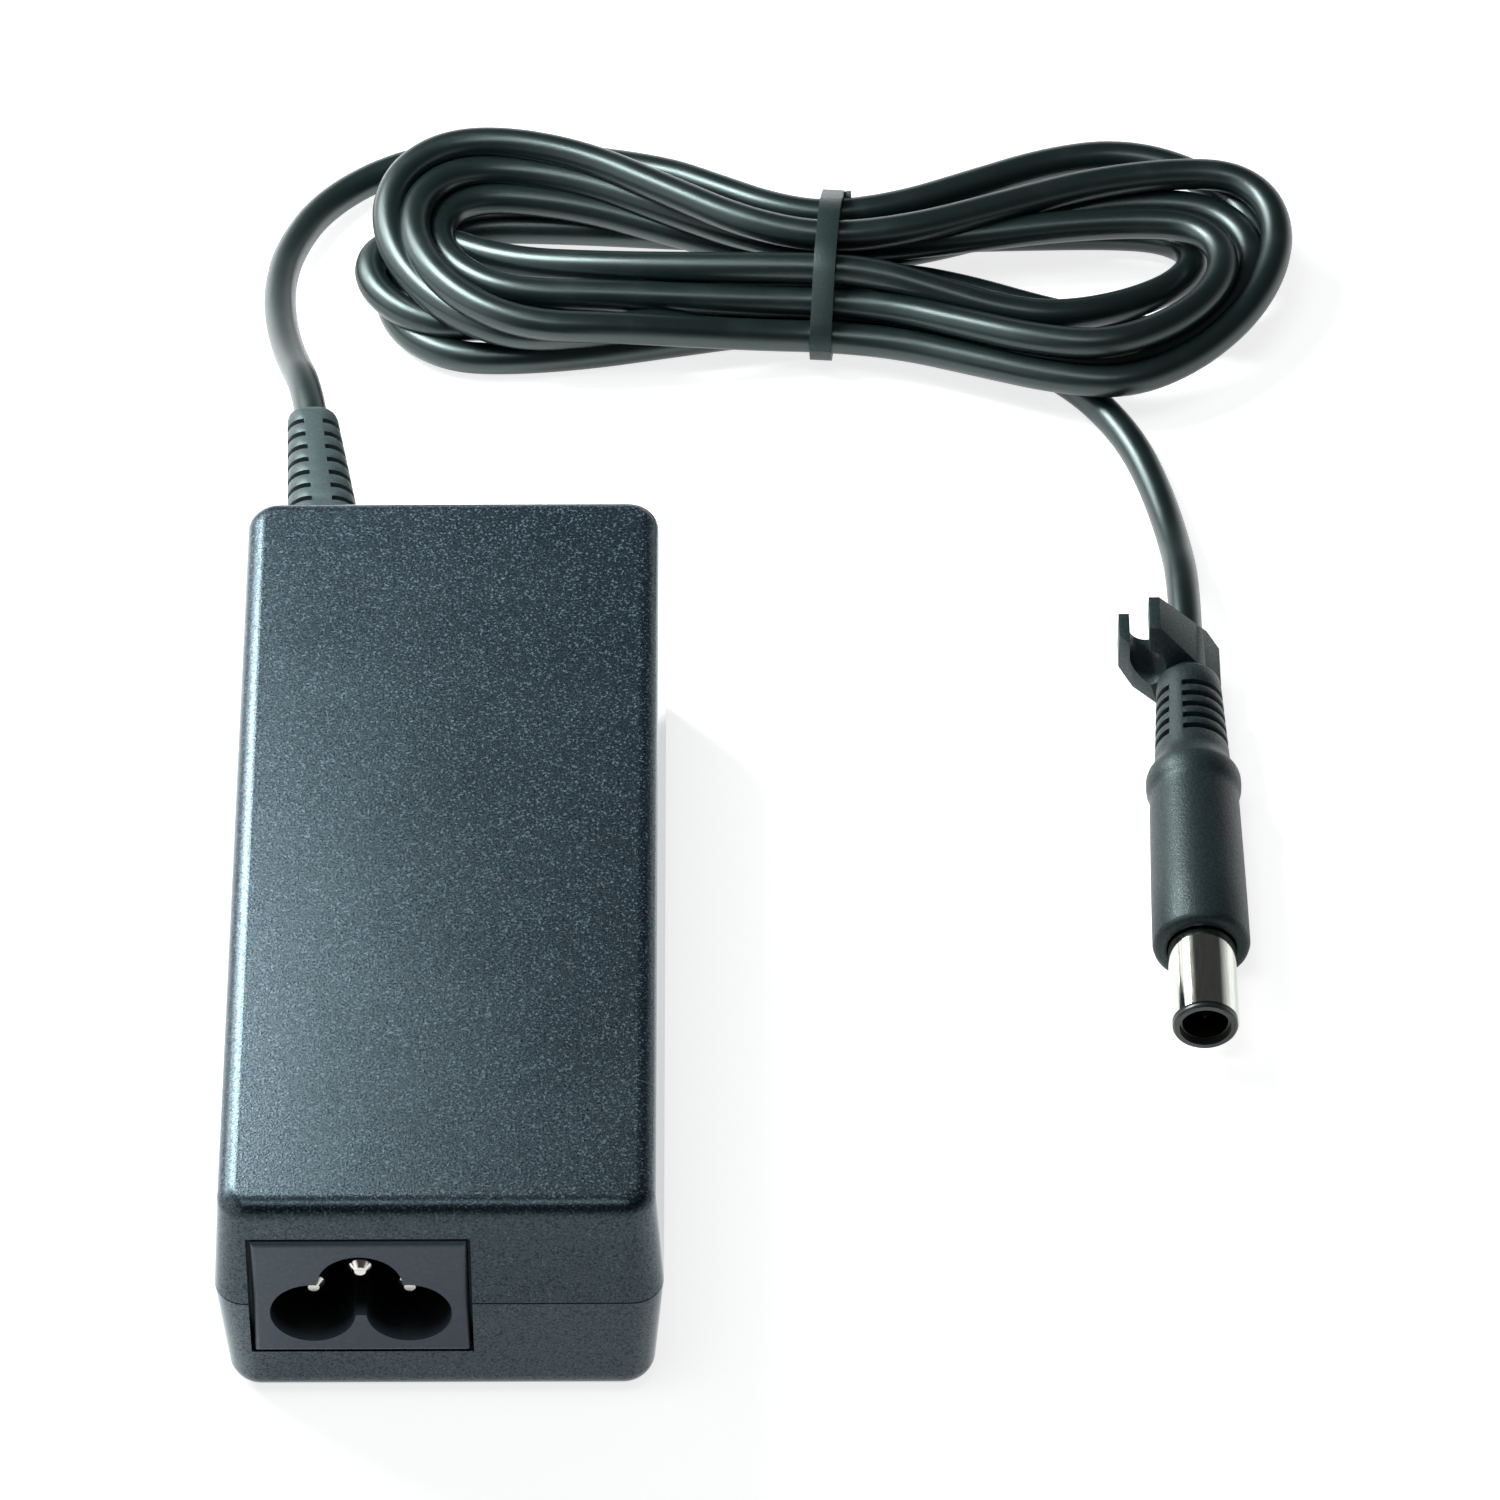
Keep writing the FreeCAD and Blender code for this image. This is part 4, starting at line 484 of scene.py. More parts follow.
tree.links.new(calculate(tree, "ADD", body.outputs["Roughness"], smoother), surface.inputs["Roughness"])
groove = calculate(tree, "MULTIPLY", seam, seam_depth)
relief = calculate(tree, "SUBTRACT", body.outputs["Height"], groove)
steepness = remap(tree, facing, slant_starts, slant_full, 1.0, slant_height)
raise_surface(tree, surface, relief, texture_height, steepness)
for node in ("case_top_shell", "case_bottom_shell"):
    dress(node, shell_plastic)


# Mains inlet: a smooth dark moulding set in the front wall, with a three-lobed cavity and three
# nickel-plated brass pins pressed into its back.

# Painted shade: the moulding's colour darkens towards the back of its cavity, between these places along
# y, in mm
cavity_shade_starts = -51.9
cavity_shade_full = -50.5
cavity_painted_shade_colour = (0.004, 0.0045, 0.005)

inlet_plastic, tree, surface, place = new_material(
    "inlet_plastic", specular=0.5, sheen_colour=(0.75, 0.88, 1.0))
body = add_grain(tree, place, colour=(0.040, 0.052, 0.070), fleck=(0.056, 0.070, 0.092),
                 size=0.4, share=0.5, roughness=0.47)
# Painted shade: deeper in the cavity the colour is blended towards near black, standing for the shade
# there
inwards = split_place(tree, place)["Y"]
depth = remap(tree, inwards, cavity_shade_starts * MM, cavity_shade_full * MM)
shaded = blend_colours(tree, depth, body.outputs["Colour"], cavity_painted_shade_colour)
cover(tree, surface, shaded, body.outputs["Roughness"], body.outputs["Height"], distance=0.005)
dress("inlet_body", inlet_plastic)


def grained(name, colour, fleck, size, share, roughness, height, metallic=0.0, specular=0.5,
            stretch=(1.0, 1.0, 1.0), sheen_colour=(1.0, 1.0, 1.0)):
    """A moulded, painted or plated finish from the grain group alone."""
    material, tree, surface, place = new_material(
        name, metallic, specular, stretch=stretch, sheen_colour=sheen_colour)
    made = add_grain(tree, place, colour, fleck, size, share, roughness).outputs
    cover(tree, surface, made["Colour"], made["Roughness"], made["Height"], height)
    return material


pin_metal = grained("pin_metal", colour=(0.74, 0.72, 0.67), fleck=(0.60, 0.58, 0.54),
                    size=0.5, share=0.5, roughness=0.20, height=0.002, metallic=1.0)
for node in ("inlet_line_pin", "inlet_neutral_pin", "inlet_earth_pin"):
    dress(node, pin_metal)


# Boot: a soft rubber sleeve moulded on the cord and held in the rear wall by its flange. Nine
# slots on each side let it bend, and a plain spine runs along its top and its bottom.

# Rings along the boot: the middle (x, y, z), the width and the height, in mm
boot_flange = (-14.2, 48.15, 15.9, 9.6, 10.4)
boot_neck = (-14.2, 49.75, 15.9, 6.4, 7.4)
boot_base = (-14.2, 52.7, 15.9, 9.2, 9.4)
boot_shoulder = (-16.7, 77.3, 14.75, 5.9, 6.5)
boot_corner = 3.4
slot_count = 9
slot_start = 4.5
slot_width = 0.75
slot_pitch = 2.3
slot_depth = 1.05
slot_lip = 0.02
spine_width = 2.1

# The rounded end: the place along the boot, and how much narrower it is there than the shoulder
boot_end = [(77.3, 0.0), (77.9, 0.10), (78.4, 0.36), (78.8, 0.82), (79.05, 1.4), (79.2, 2.2)]


def metres(place):
    """A place in mm, in metres."""
    return tuple(value * MM for value in place[:3])


def along(first, last, y):
    """The ring between two rings at a place along the cord."""
    share = (y - first[1]) / (last[1] - first[1])
    return tuple(a + (b - a) * share for a, b in zip(first, last))


def extrude_ring(before, after):
    """Extrude the selected end face to the next ring and give it that ring's width and height."""
    step = [(after[axis] - before[axis]) * MM for axis in range(3)]
    bpy.ops.mesh.extrude_region_move(TRANSFORM_OT_translate={"value": step})
    growth = (after[3] / before[3], 1.0, after[4] / before[4])
    bpy.ops.transform.resize(value=growth, center_override=metres(after))


def pick_faces(piece, wanted):
    """Select the faces whose middles, in mm, pass a test."""
    bpy.ops.mesh.select_mode(type="FACE")
    bpy.ops.mesh.select_all(action="DESELECT")
    bpy.ops.object.mode_set(mode="OBJECT")
    for face in piece.data.polygons:
        x, y, z = face.center
        face.select = wanted(x / MM, y / MM, z / MM)
    bpy.ops.object.mode_set(mode="EDIT")


def soften_edges(piece, width, segments=2, angle=30.0):
    """Round the edges that turn by more than an angle, and smooth the rest."""
    bevel = piece.modifiers.new("soft_edges", "BEVEL")
    bevel.width = width * MM
    bevel.segments = segments
    bevel.limit_method = "ANGLE"
    bevel.angle_limit = math.radians(angle)
    bpy.ops.object.modifier_apply(modifier=bevel.name)
    bpy.ops.object.shade_smooth_by_angle(angle=math.radians(angle))


bpy.ops.object.select_all(action="DESELECT")
bpy.ops.mesh.primitive_plane_add(size=MM, location=metres(boot_flange),
                                 rotation=(math.radians(90), 0.0, 0.0))
boot = bpy.context.active_object
boot.name = "boot_sleeve"
boot.scale = (boot_flange[3], boot_flange[4], 1.0)
bpy.ops.object.transform_apply(location=True, rotation=True, scale=True)
bpy.ops.object.mode_set(mode="EDIT")
bpy.ops.mesh.select_all(action="SELECT")
bpy.ops.mesh.bevel(offset=boot_corner * MM, segments=7, affect="VERTICES")
rings = [
    boot_flange, (*boot_neck[:3], *boot_flange[3:]), boot_neck,
    (*boot_base[:3], *boot_neck[3:]), boot_base,
]
for index in range(slot_count):
    slot_y = boot_base[1] + slot_start + slot_pitch * index
    for y in (slot_y, slot_y + slot_width):
        rings.append(along(boot_base, boot_shoulder, y))
for y, narrower in boot_end:
    middle = along(boot_base, boot_shoulder, y)
    rings.append((*middle[:3], boot_shoulder[3] - narrower, boot_shoulder[4] - narrower))
for before, after in zip(rings, rings[1:]):
    extrude_ring(before, after)
lean = (boot_base[0] - boot_shoulder[0]) / (boot_shoulder[1] - boot_base[1])
for side in (-1, 1):
    bpy.ops.mesh.select_all(action="SELECT")
    edge = (boot_base[0] + side * spine_width / 2, boot_base[1], boot_base[2])
    bpy.ops.mesh.bisect(plane_co=metres(edge), plane_no=(1.0, lean, 0.0))
bpy.ops.mesh.select_all(action="SELECT")
bpy.ops.mesh.normals_make_consistent(inside=False)


def in_boot_slot(x, y, z):
    """True on the flanks of the boot, inside one of its slots."""
    past = y - boot_base[1] - slot_start
    in_band = 0 < past < slot_pitch * slot_count and past % slot_pitch < slot_width
    return in_band and abs(x - boot_base[0] + lean * (y - boot_base[1])) > spine_width / 2


pick_faces(boot, in_boot_slot)
bpy.ops.mesh.inset(thickness=slot_lip * MM, depth=-slot_depth * MM)
bpy.ops.mesh.select_all(action="SELECT")
bpy.ops.mesh.normals_make_consistent(inside=False)
bpy.ops.object.mode_set(mode="OBJECT")
soften_edges(boot, width=0.13)
boot_rubber = grained("boot_rubber", colour=(0.018, 0.029, 0.031), fleck=(0.045, 0.060, 0.062),
                      size=0.35, share=0.45, roughness=0.50, height=0.006, sheen_colour=cool_sheen)
boot.data.materials.append(boot_rubber)
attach(boot, "root")
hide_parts("cord_boot")


# Tie: a narrow moulded rubber band pulled snug round the eleven strands, a little askew, with the
# end of the band standing out as a small lip at the back.

tie_width = 2.5
tie_thickness = 0.8
tie_middle = (41.8, 112.8, 6.2)
tie_slant = 4.3
tie_corners = [
    (104.6, 0.85), (122.4, 0.85), (124.6, 2.7), (124.9, 7.2),
    (117.2, 12.2), (109.0, 12.1), (101.5, 5.8), (101.5, 3.6),
]
tie_corner_radius = 2.0
tie_start_radius = 5.0
tie_edge_margin = 0.05
tie_lip_behind = 123.0
tie_lip_heights = (4.0, 7.5)
tie_lip_reach = 0.8
tie_lip_rise = 0.2


def angle_round(y, z, middle):
    """The angle of a place round the tie's middle."""
    return math.atan2(z - middle[2], y - middle[1])


def at_band_end(x, y, z):
    """True on the band's outer edge, high up at the back, where its end stands out."""
    on_edge = x > tie_middle[0] + tie_width / 2 - tie_edge_margin
    return on_edge and y > tie_lip_behind and tie_lip_heights[0] < z < tie_lip_heights[1]


bpy.ops.object.select_all(action="DESELECT")
bpy.ops.mesh.primitive_circle_add(vertices=len(tie_corners), radius=tie_start_radius * MM,
                                  fill_type="NGON", location=metres(tie_middle),
                                  rotation=(0.0, math.radians(90), 0.0))
tie = bpy.context.active_object
tie.name = "tie_band"
bpy.ops.object.transform_apply(location=True, rotation=True, scale=True)
going_round = sorted(range(len(tie_corners)), key=lambda index: angle_round(
    tie.data.vertices[index].co.y, tie.data.vertices[index].co.z, metres(tie_middle)))
corners_round = sorted(tie_corners, key=lambda corner: angle_round(*corner, tie_middle))
tie_face_x = (tie_middle[0] - tie_width / 2) * MM
for index, (y, z) in zip(going_round, corners_round):
    bpy.ops.object.mode_set(mode="EDIT")
    bpy.ops.mesh.select_mode(type="VERT")
    bpy.ops.mesh.select_all(action="DESELECT")
    bpy.ops.object.mode_set(mode="OBJECT")
    tie.data.vertices[index].select = True
    now = tie.data.vertices[index].co.copy()
    bpy.ops.object.mode_set(mode="EDIT")
    bpy.ops.transform.translate(value=(tie_face_x - now.x, y * MM - now.y, z * MM - now.z))
bpy.ops.mesh.select_all(action="SELECT")
bpy.ops.mesh.bevel(offset=tie_corner_radius * MM, segments=5, affect="VERTICES")
bpy.ops.mesh.select_all(action="SELECT")
bpy.ops.mesh.delete(type="ONLY_FACE")
bpy.ops.mesh.select_all(action="SELECT")
bpy.ops.mesh.extrude_region_move(TRANSFORM_OT_translate={"value": (tie_width * MM, 0.0, 0.0)})
bpy.ops.mesh.select_all(action="SELECT")
bpy.ops.mesh.normals_make_consistent(inside=False)
bpy.ops.object.mode_set(mode="OBJECT")
wall = tie.modifiers.new("wall", "SOLIDIFY")
wall.thickness = tie_thickness * MM
wall.offset = 1.0
bpy.ops.object.modifier_apply(modifier=wall.name)
bpy.ops.object.mode_set(mode="EDIT")
pick_faces(tie, at_band_end)
bpy.ops.mesh.extrude_region_move(
    TRANSFORM_OT_translate={"value": (tie_lip_reach * MM, 0.0, tie_lip_rise * MM)})
bpy.ops.mesh.select_all(action="SELECT")
bpy.ops.transform.rotate(value=math.radians(tie_slant), orient_axis="Z",
                         center_override=metres(tie_middle))
bpy.ops.object.mode_set(mode="OBJECT")
soften_edges(tie, width=0.22, segments=3)
tie_rubber = grained("tie_rubber", colour=(0.006, 0.013, 0.013), fleck=(0.017, 0.028, 0.028),
                     size=0.35, share=0.45, roughness=0.44, height=0.006, sheen_colour=cool_sheen)
tie.data.materials.append(tie_rubber)
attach(tie, "root")
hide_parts("cord_tie")


# Plug grip: a dark moulding over the end of the cord, with a round body, a collar, a relief with
# slots on both sides of two plain spines, and an open clip at the rear for holding a strand.

plug_axis = (81.6, 0.0, 5.35)
relief_start = 34.4
relief_end = 49.5
relief_radii = (4.2, 3.45)
plug_slots = [36.0 + 1.75 * index for index in range(5)]
plug_slot_width = 0.75
plug_slot_depth = 0.95
plug_slot_floor = 3.3
after_slots = 45.2
steps_round = 72

# Where the two spines stand and how far each reaches to its sides, in degrees round the plug
plug_spine_turn = -27.5
plug_spine_half = 12.5


def relief_radius(y):
    """The radius of the tapering relief at a place along the plug."""
    share = (y - relief_start) / (relief_end - relief_start)
    return relief_radii[0] + (relief_radii[1] - relief_radii[0]) * share


# The grip's outline from the inside of its bore round to the cord: the place along, and the radius
grip_outline = [
    (25.5, 0.0), (25.5, 3.2), (14.5, 3.2), (14.5, 3.58), (8.0, 3.58), (6.75, 3.74), (6.45, 3.86),
    (6.40, 4.2), (6.40, 4.62), (6.52, 4.95), (6.78, 5.2), (7.3, 5.35), (14.0, 5.26), (21.0, 5.12),
    (27.4, 4.98), (28.4, 4.94), (29.0, 4.98), (29.5, 5.13), (30.0, 5.25), (30.8, 5.3), (31.5, 5.27),
    (32.0, 5.12), (32.6, 4.8), (33.4, 4.42), (34.0, 4.26), (34.6, 4.2),
]
for slot_y in plug_slots:
    for y in (slot_y, slot_y + plug_slot_width):
        grip_outline.append((y, relief_radius(y)))
grip_outline += [
    (after_slots, relief_radius(after_slots)), (46.4, 3.5), (47.0, 3.0), (47.6, 2.2), (53.9, 2.1),
    (54.2, 1.9), (54.2, 0.0),
]

bpy.ops.object.select_all(action="DESELECT")
outline_start = (plug_axis[0], grip_outline[0][0], plug_axis[2])
bpy.ops.mesh.primitive_plane_add(size=MM, location=metres(outline_start))
grip = bpy.context.active_object
grip.name = "plug_grip_moulding"
bpy.ops.object.transform_apply(location=True, rotation=True, scale=True)
bpy.ops.object.mode_set(mode="EDIT")
bpy.ops.mesh.select_mode(type="VERT")
bpy.ops.mesh.select_all(action="SELECT")
bpy.ops.mesh.merge(type="CENTER")
for (y, radius), (next_y, next_radius) in zip(grip_outline, grip_outline[1:]):
    bpy.ops.mesh.extrude_vertices_move(
        TRANSFORM_OT_translate={"value": (0.0, (next_y - y) * MM, (next_radius - radius) * MM)})
bpy.ops.mesh.select_all(action="SELECT")
bpy.ops.mesh.spin(steps=steps_round, angle=math.tau, center=metres(plug_axis), axis=(0.0, 1.0, 0.0))
bpy.ops.mesh.select_all(action="SELECT")
bpy.ops.mesh.remove_doubles(threshold=0.001 * MM)
bpy.ops.mesh.normals_make_consistent(inside=False)


def in_plug_slot(x, y, z):
    """True on the relief, inside a slot and off both spines."""
    across = x - plug_axis[0]
    up = z - plug_axis[2]
    turned = abs((math.degrees(math.atan2(across, up)) - plug_spine_turn + 90.0) % 180.0 - 90.0)
    on_skin = math.hypot(across, up) > plug_slot_floor
    in_slot = any(slot_y < y < slot_y + plug_slot_width for slot_y in plug_slots)
    return on_skin and turned > plug_spine_half and in_slot


pick_faces(grip, in_plug_slot)
bpy.ops.mesh.inset(thickness=slot_lip * MM, depth=-plug_slot_depth * MM)
bpy.ops.mesh.select_all(action="SELECT")
bpy.ops.mesh.normals_make_consistent(inside=False)
bpy.ops.object.mode_set(mode="OBJECT")
soften_edges(grip, width=0.1)

clip_low = (73.9, 46.4, 2.35)
clip_high = (85.3, 54.2, 11.45)
clip_bore = (77.1, 50.3, 6.65)
clip_bore_radius = 2.0
clip_bore_depth = 12.0

# Each flat cut through the clip's block: a place on it, and the side that falls away
clip_cuts = [
    ((78.4, 0.0, 11.45), (4.5, 0.0, 4.8)),
    ((84.1, 0.0, 6.1), (2.7, 0.0, 1.2)),
    ((73.9, 0.0, 3.95), (-1.6, 0.0, -3.6)),
    ((84.3, 0.0, 2.35), (1.0, 0.0, -1.0)),
    ((84.5, 53.6, 0.0), (1.0, 1.0, 0.0)),
    ((78.15, 46.4, 0.0), (-5.6, -4.25, 0.0)),
    ((0.0, 49.3, 11.45), (0.0, -1.0, 0.31)),
]


def add_block(name, low, high):
    """A block between two corners."""
    middle = [(a + b) / 2 for a, b in zip(low, high)]
    bpy.ops.object.select_all(action="DESELECT")
    bpy.ops.mesh.primitive_cube_add(size=MM, location=metres(middle))
    block = bpy.context.active_object
    block.name = name
    block.scale = [b - a for a, b in zip(low, high)]
    bpy.ops.object.transform_apply(location=True, rotation=True, scale=True)
    return block


def cut_away(piece, cutter):
    """Subtract one piece from another and remove it."""
    cut = piece.modifiers.new("cut", "BOOLEAN")
    cut.operation = "DIFFERENCE"
    cut.solver = "EXACT"
    cut.object = cutter
    bpy.ops.object.select_all(action="DESELECT")
    bpy.context.view_layer.objects.active = piece
    piece.select_set(True)
    bpy.ops.object.modifier_apply(modifier=cut.name)
    bpy.data.objects.remove(cutter)


clip = add_block("cord_clip", clip_low, clip_high)
bpy.ops.object.mode_set(mode="EDIT")
for place, outwards in clip_cuts:
    bpy.ops.mesh.select_all(action="SELECT")
    bpy.ops.mesh.bisect(plane_co=metres(place), plane_no=outwards, use_fill=True, clear_outer=True)
bpy.ops.object.mode_set(mode="OBJECT")
cut_away(clip, add_block("over_low_jaw", (73.0, 45.0, 8.8), (77.2, 56.0, 13.0)))
cut_away(clip, add_block("mouth", (75.1, 45.0, 6.65), (77.2, 56.0, 13.0)))
bpy.ops.object.select_all(action="DESELECT")
bpy.ops.mesh.primitive_cylinder_add(vertices=48, radius=clip_bore_radius * MM,
                                    depth=clip_bore_depth * MM, location=metres(clip_bore),
                                    rotation=(math.radians(90), 0.0, 0.0))
bore = bpy.context.active_object
bpy.ops.object.transform_apply(location=True, rotation=True, scale=True)
cut_away(clip, bore)
soften_edges(clip, width=0.16, segments=3)
bpy.ops.object.select_all(action="DESELECT")
clip.select_set(True)
grip.select_set(True)
bpy.context.view_layer.objects.active = grip
bpy.ops.object.join()
grip_plastic = grained("grip_plastic", colour=(0.007, 0.013, 0.015), fleck=(0.025, 0.036, 0.039),
                       size=0.28, share=0.6, roughness=0.48, height=0.012, specular=0.28,
                       sheen_colour=cool_sheen)
grip.data.materials.append(grip_plastic)
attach(grip, "root")
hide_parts("plug_grip")


# Plug contacts: a nickel-plated outer sleeve over a black insulator that ends in a ring at the
# tip, a thin inner sleeve, a plastic core and the centre pin, all pressed in from the front.

dress("plug_outer_sleeve", grained(
    "barrel_nickel", colour=(0.62, 0.64, 0.58), fleck=(0.48, 0.49, 0.44), size=0.25, share=0.5,
    roughness=0.10, height=0.0015, metallic=1.0, stretch=(1.0, 0.08, 1.0)))
dress("plug_insulator", grained(
    "insulator_plastic", colour=(0.010, 0.015, 0.016), fleck=(0.026, 0.034, 0.035), size=0.4,
    share=0.4, roughness=0.36, height=0.003))
# Painted shade: the inner sleeve's metal is coloured dark, as inside the barrel it lies in shade
dress("plug_inner_sleeve", grained(
    "contact_metal", colour=(0.10, 0.10, 0.08), fleck=(0.06, 0.06, 0.05), size=0.3, share=0.5,
    roughness=0.42, height=0.002, metallic=1.0))
# Painted shade: the nickel-plated centre pin is coloured nearly black, as deep in the barrel it lies in
# shade
dress("plug_centre_pin", grained(
    "centre_pin_painted_shade", colour=(0.012, 0.012, 0.010), fleck=(0.008, 0.008, 0.007), size=0.3, share=0.5,
    roughness=0.80, height=0.002, metallic=1.0))
dress("plug_core", grained(
    "core_plastic", colour=(0.012, 0.012, 0.013), fleck=(0.03, 0.03, 0.03), size=0.4, share=0.4,
    roughness=0.5, height=0.004))
dress("plug_inner_mould", grained(
    "inner_mould_plastic", colour=(0.42, 0.41, 0.37), fleck=(0.55, 0.54, 0.50), size=0.6, share=0.5,
    roughness=0.5, height=0.01))


# Circuit board: a glass-fibre laminate under green lacquer, with wide copper runs that show
# through it. It stands on four posts and carries everything inside the case.

board, tree, surface, place = new_material("board_lacquer", specular=0.6)
runs = tree.nodes.new("ShaderNodeTexBrick")
runs.inputs["Scale"].default_value = 90.0
runs.inputs["Mortar Size"].default_value = 0.035
runs.inputs["Color1"].default_value = (0.030, 0.115, 0.035, 1.0)
runs.inputs["Color2"].default_value = (0.040, 0.140, 0.045, 1.0)
runs.inputs["Mortar"].default_value = (0.018, 0.070, 0.022, 1.0)
tree.links.new(place, runs.inputs["Vector"])
pads = tree.nodes.new("ShaderNodeTexVoronoi")
pads.inputs["Scale"].default_value = 260.0
tree.links.new(place, pads.inputs["Vector"])
solder_edge = (0.20, 0.16)
solder = remap(tree, pads.outputs["Distance"], *solder_edge)
solder_colour = (0.45, 0.45, 0.43)
body = add_grain(tree, place, runs.outputs["Color"], fleck=(0.06, 0.17, 0.06), size=0.4, share=0.4,
                 roughness=0.32)
soldered = blend_colours(tree, solder, body.outputs["Colour"], solder_colour)
tree.links.new(solder, surface.inputs["Metallic"])
raised = calculate(tree, "ADD", runs.outputs["Fac"], solder)
cover(tree, surface, soldered, body.outputs["Roughness"], raised, distance=0.02)
dress("circuit_board", board)


# Wires: stranded copper in coloured jackets, crimped to the inlet pins in front and to the cord's
# two cores behind.

wire_colours = [
    ("line_lead", (0.16, 0.055, 0.025), (0.22, 0.09, 0.05)),
    ("neutral_lead", (0.03, 0.10, 0.36), (0.06, 0.15, 0.45)),
    ("earth_lead", (0.10, 0.30, 0.05), (0.50, 0.48, 0.06)),
    ("positive_core", (0.50, 0.025, 0.02), (0.60, 0.06, 0.05)),
    ("negative_core", (0.012, 0.012, 0.014), (0.04, 0.04, 0.045)),
]
for node, colour, fleck in wire_colours:
    dress(node, grained(node + "_jacket", colour, fleck, size=0.7, share=0.5, roughness=0.36,
                        height=0.006))


# Fuse, safety capacitors and varistor: a white ceramic tube with plated caps, a yellow moulded box
# and two lacquered discs, each on its own pair of tinned legs through the board.

leg_ends = 0.9
body_starts = 1.0
leg_tin = (0.62, 0.62, 0.60)


def on_legs(name, node, colour, fleck, roughness, height, specular=0.5):
    """A component's body, with tinned legs below it."""
    material, tree, surface, place = new_material(name, specular=specular)
    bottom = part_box(node)[0][2]
    body = add_grain(tree, place, colour, fleck, size=0.5, share=0.5, roughness=roughness)
    height_up = split_place(tree, place)["Z"]
    leg = remap(tree, height_up, bottom + leg_ends * MM, bottom + body_starts * MM, 1.0, 0.0)
    legged = blend_colours(tree, leg, body.outputs["Colour"], leg_tin)
    tree.links.new(leg, surface.inputs["Metallic"])
    cover(tree, surface, legged, body.outputs["Roughness"], body.outputs["Height"], height)
    dress(node, material)
    return tree, surface, place, body


fuse_cap_starts = 4.1
fuse_cap_full = 4.0
cap_plating = (0.66, 0.65, 0.62)
tree, surface, place, body = on_legs("fuse_ceramic", "fuse", colour=(0.74, 0.73, 0.69),
                                     fleck=(0.82, 0.81, 0.78), roughness=0.6, height=0.01)
low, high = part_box("fuse")
half_length = (high[1] - low[1]) / 2
along_fuse = calculate(tree, "SUBTRACT", split_place(tree, place)["Y"], (low[1] + high[1]) / 2)
from_middle = calculate(tree, "ABSOLUTE", along_fuse)
cap = remap(tree, from_middle, half_length - fuse_cap_starts * MM, half_length - fuse_cap_full * MM)
capped = blend_colours(tree, cap, body.outputs["Colour"], cap_plating)
tree.links.new(capped, surface.inputs["Base Color"])
tree.links.new(cap, surface.inputs["Metallic"])
on_legs("x_capacitor_case", "x_capacitor", colour=(0.62, 0.44, 0.05), fleck=(0.70, 0.52, 0.09),
        roughness=0.42, height=0.008)
on_legs("varistor_lacquer", "varistor", colour=(0.04, 0.12, 0.36), fleck=(0.07, 0.18, 0.45),
        roughness=0.28, height=0.02, specular=0.6)
on_legs("y_capacitor_lacquer", "y_capacitor", colour=(0.05, 0.14, 0.38), fleck=(0.08, 0.20, 0.46),
        roughness=0.28, height=0.02, specular=0.6)


# Semiconductors: a bridge rectifier, a controller, an optocoupler, a transistor and a diode, in
# black epoxy packages with a fine matt skin and tinned legs that are soldered into the board.

for node in ("bridge_rectifier", "controller_chip", "optocoupler", "switching_transistor",
             "output_diode"):
    on_legs(node + "_epoxy", node, colour=(0.018, 0.018, 0.019), fleck=(0.05, 0.05, 0.052),
            roughness=0.55, height=0.008)


# Chokes and transformer: pressed ferrite cores, some in a coat of lacquer, and coils of enamelled
# copper wire. The transformer's coil is wound on a plastic bobbin under yellow tape.

wire_lay, start, end = new_group(
    "wire_lay",
    [("Vector", PLACE, None), ("Wire Pitch", NUMBER, 0.5), ("Wire", COLOUR, (0.6, 0.25, 0.08, 1.0)),
     ("Gap", COLOUR, (0.1, 0.03, 0.01, 1.0))],
    [("Colour", COLOUR), ("Height", NUMBER)])
# At this scale the wave texture lays one band in a millimetre
band_in_a_millimetre = 314.0
bands = wire_lay.nodes.new("ShaderNodeTexWave")
bands.bands_direction = "X"
bands.inputs["Distortion"].default_value = 0.6
bands.inputs["Detail"].default_value = 1.0
wire_lay.links.new(start.outputs["Vector"], bands.inputs["Vector"])
band_scale = calculate(wire_lay, "DIVIDE", band_in_a_millimetre, start.outputs["Wire Pitch"])
wire_lay.links.new(band_scale, bands.inputs["Scale"])
crown_levels = (0.05, 0.55)
crown = remap(wire_lay, bands.outputs["Fac"], *crown_levels)
striped = blend_colours(wire_lay, crown, start.outputs["Gap"], start.outputs["Wire"])
wire_lay.links.new(striped, end.inputs["Colour"])
wire_lay.links.new(bands.outputs["Fac"], end.inputs["Height"])


def wound(name, pitch, wire, gap, turn, roughness, height, metallic):
    """Wire, or tape, laid side by side. The pitch and height are in mm."""
    material, tree, surface, place = new_material(name, metallic=metallic, turn=turn)
    lay = tree.nodes.new("ShaderNodeGroup")
    lay.node_tree = wire_lay
    lay.inputs["Wire Pitch"].default_value = pitch
    lay.inputs["Wire"].default_value = (*wire, 1.0)
    lay.inputs["Gap"].default_value = (*gap, 1.0)
    tree.links.new(place, lay.inputs["Vector"])
    body = add_grain(tree, place, lay.outputs["Colour"], wire, size=0.4, share=0.3, roughness=roughness)
    cover(tree, surface, body.outputs["Colour"], body.outputs["Roughness"], lay.outputs["Height"], height)
    return material


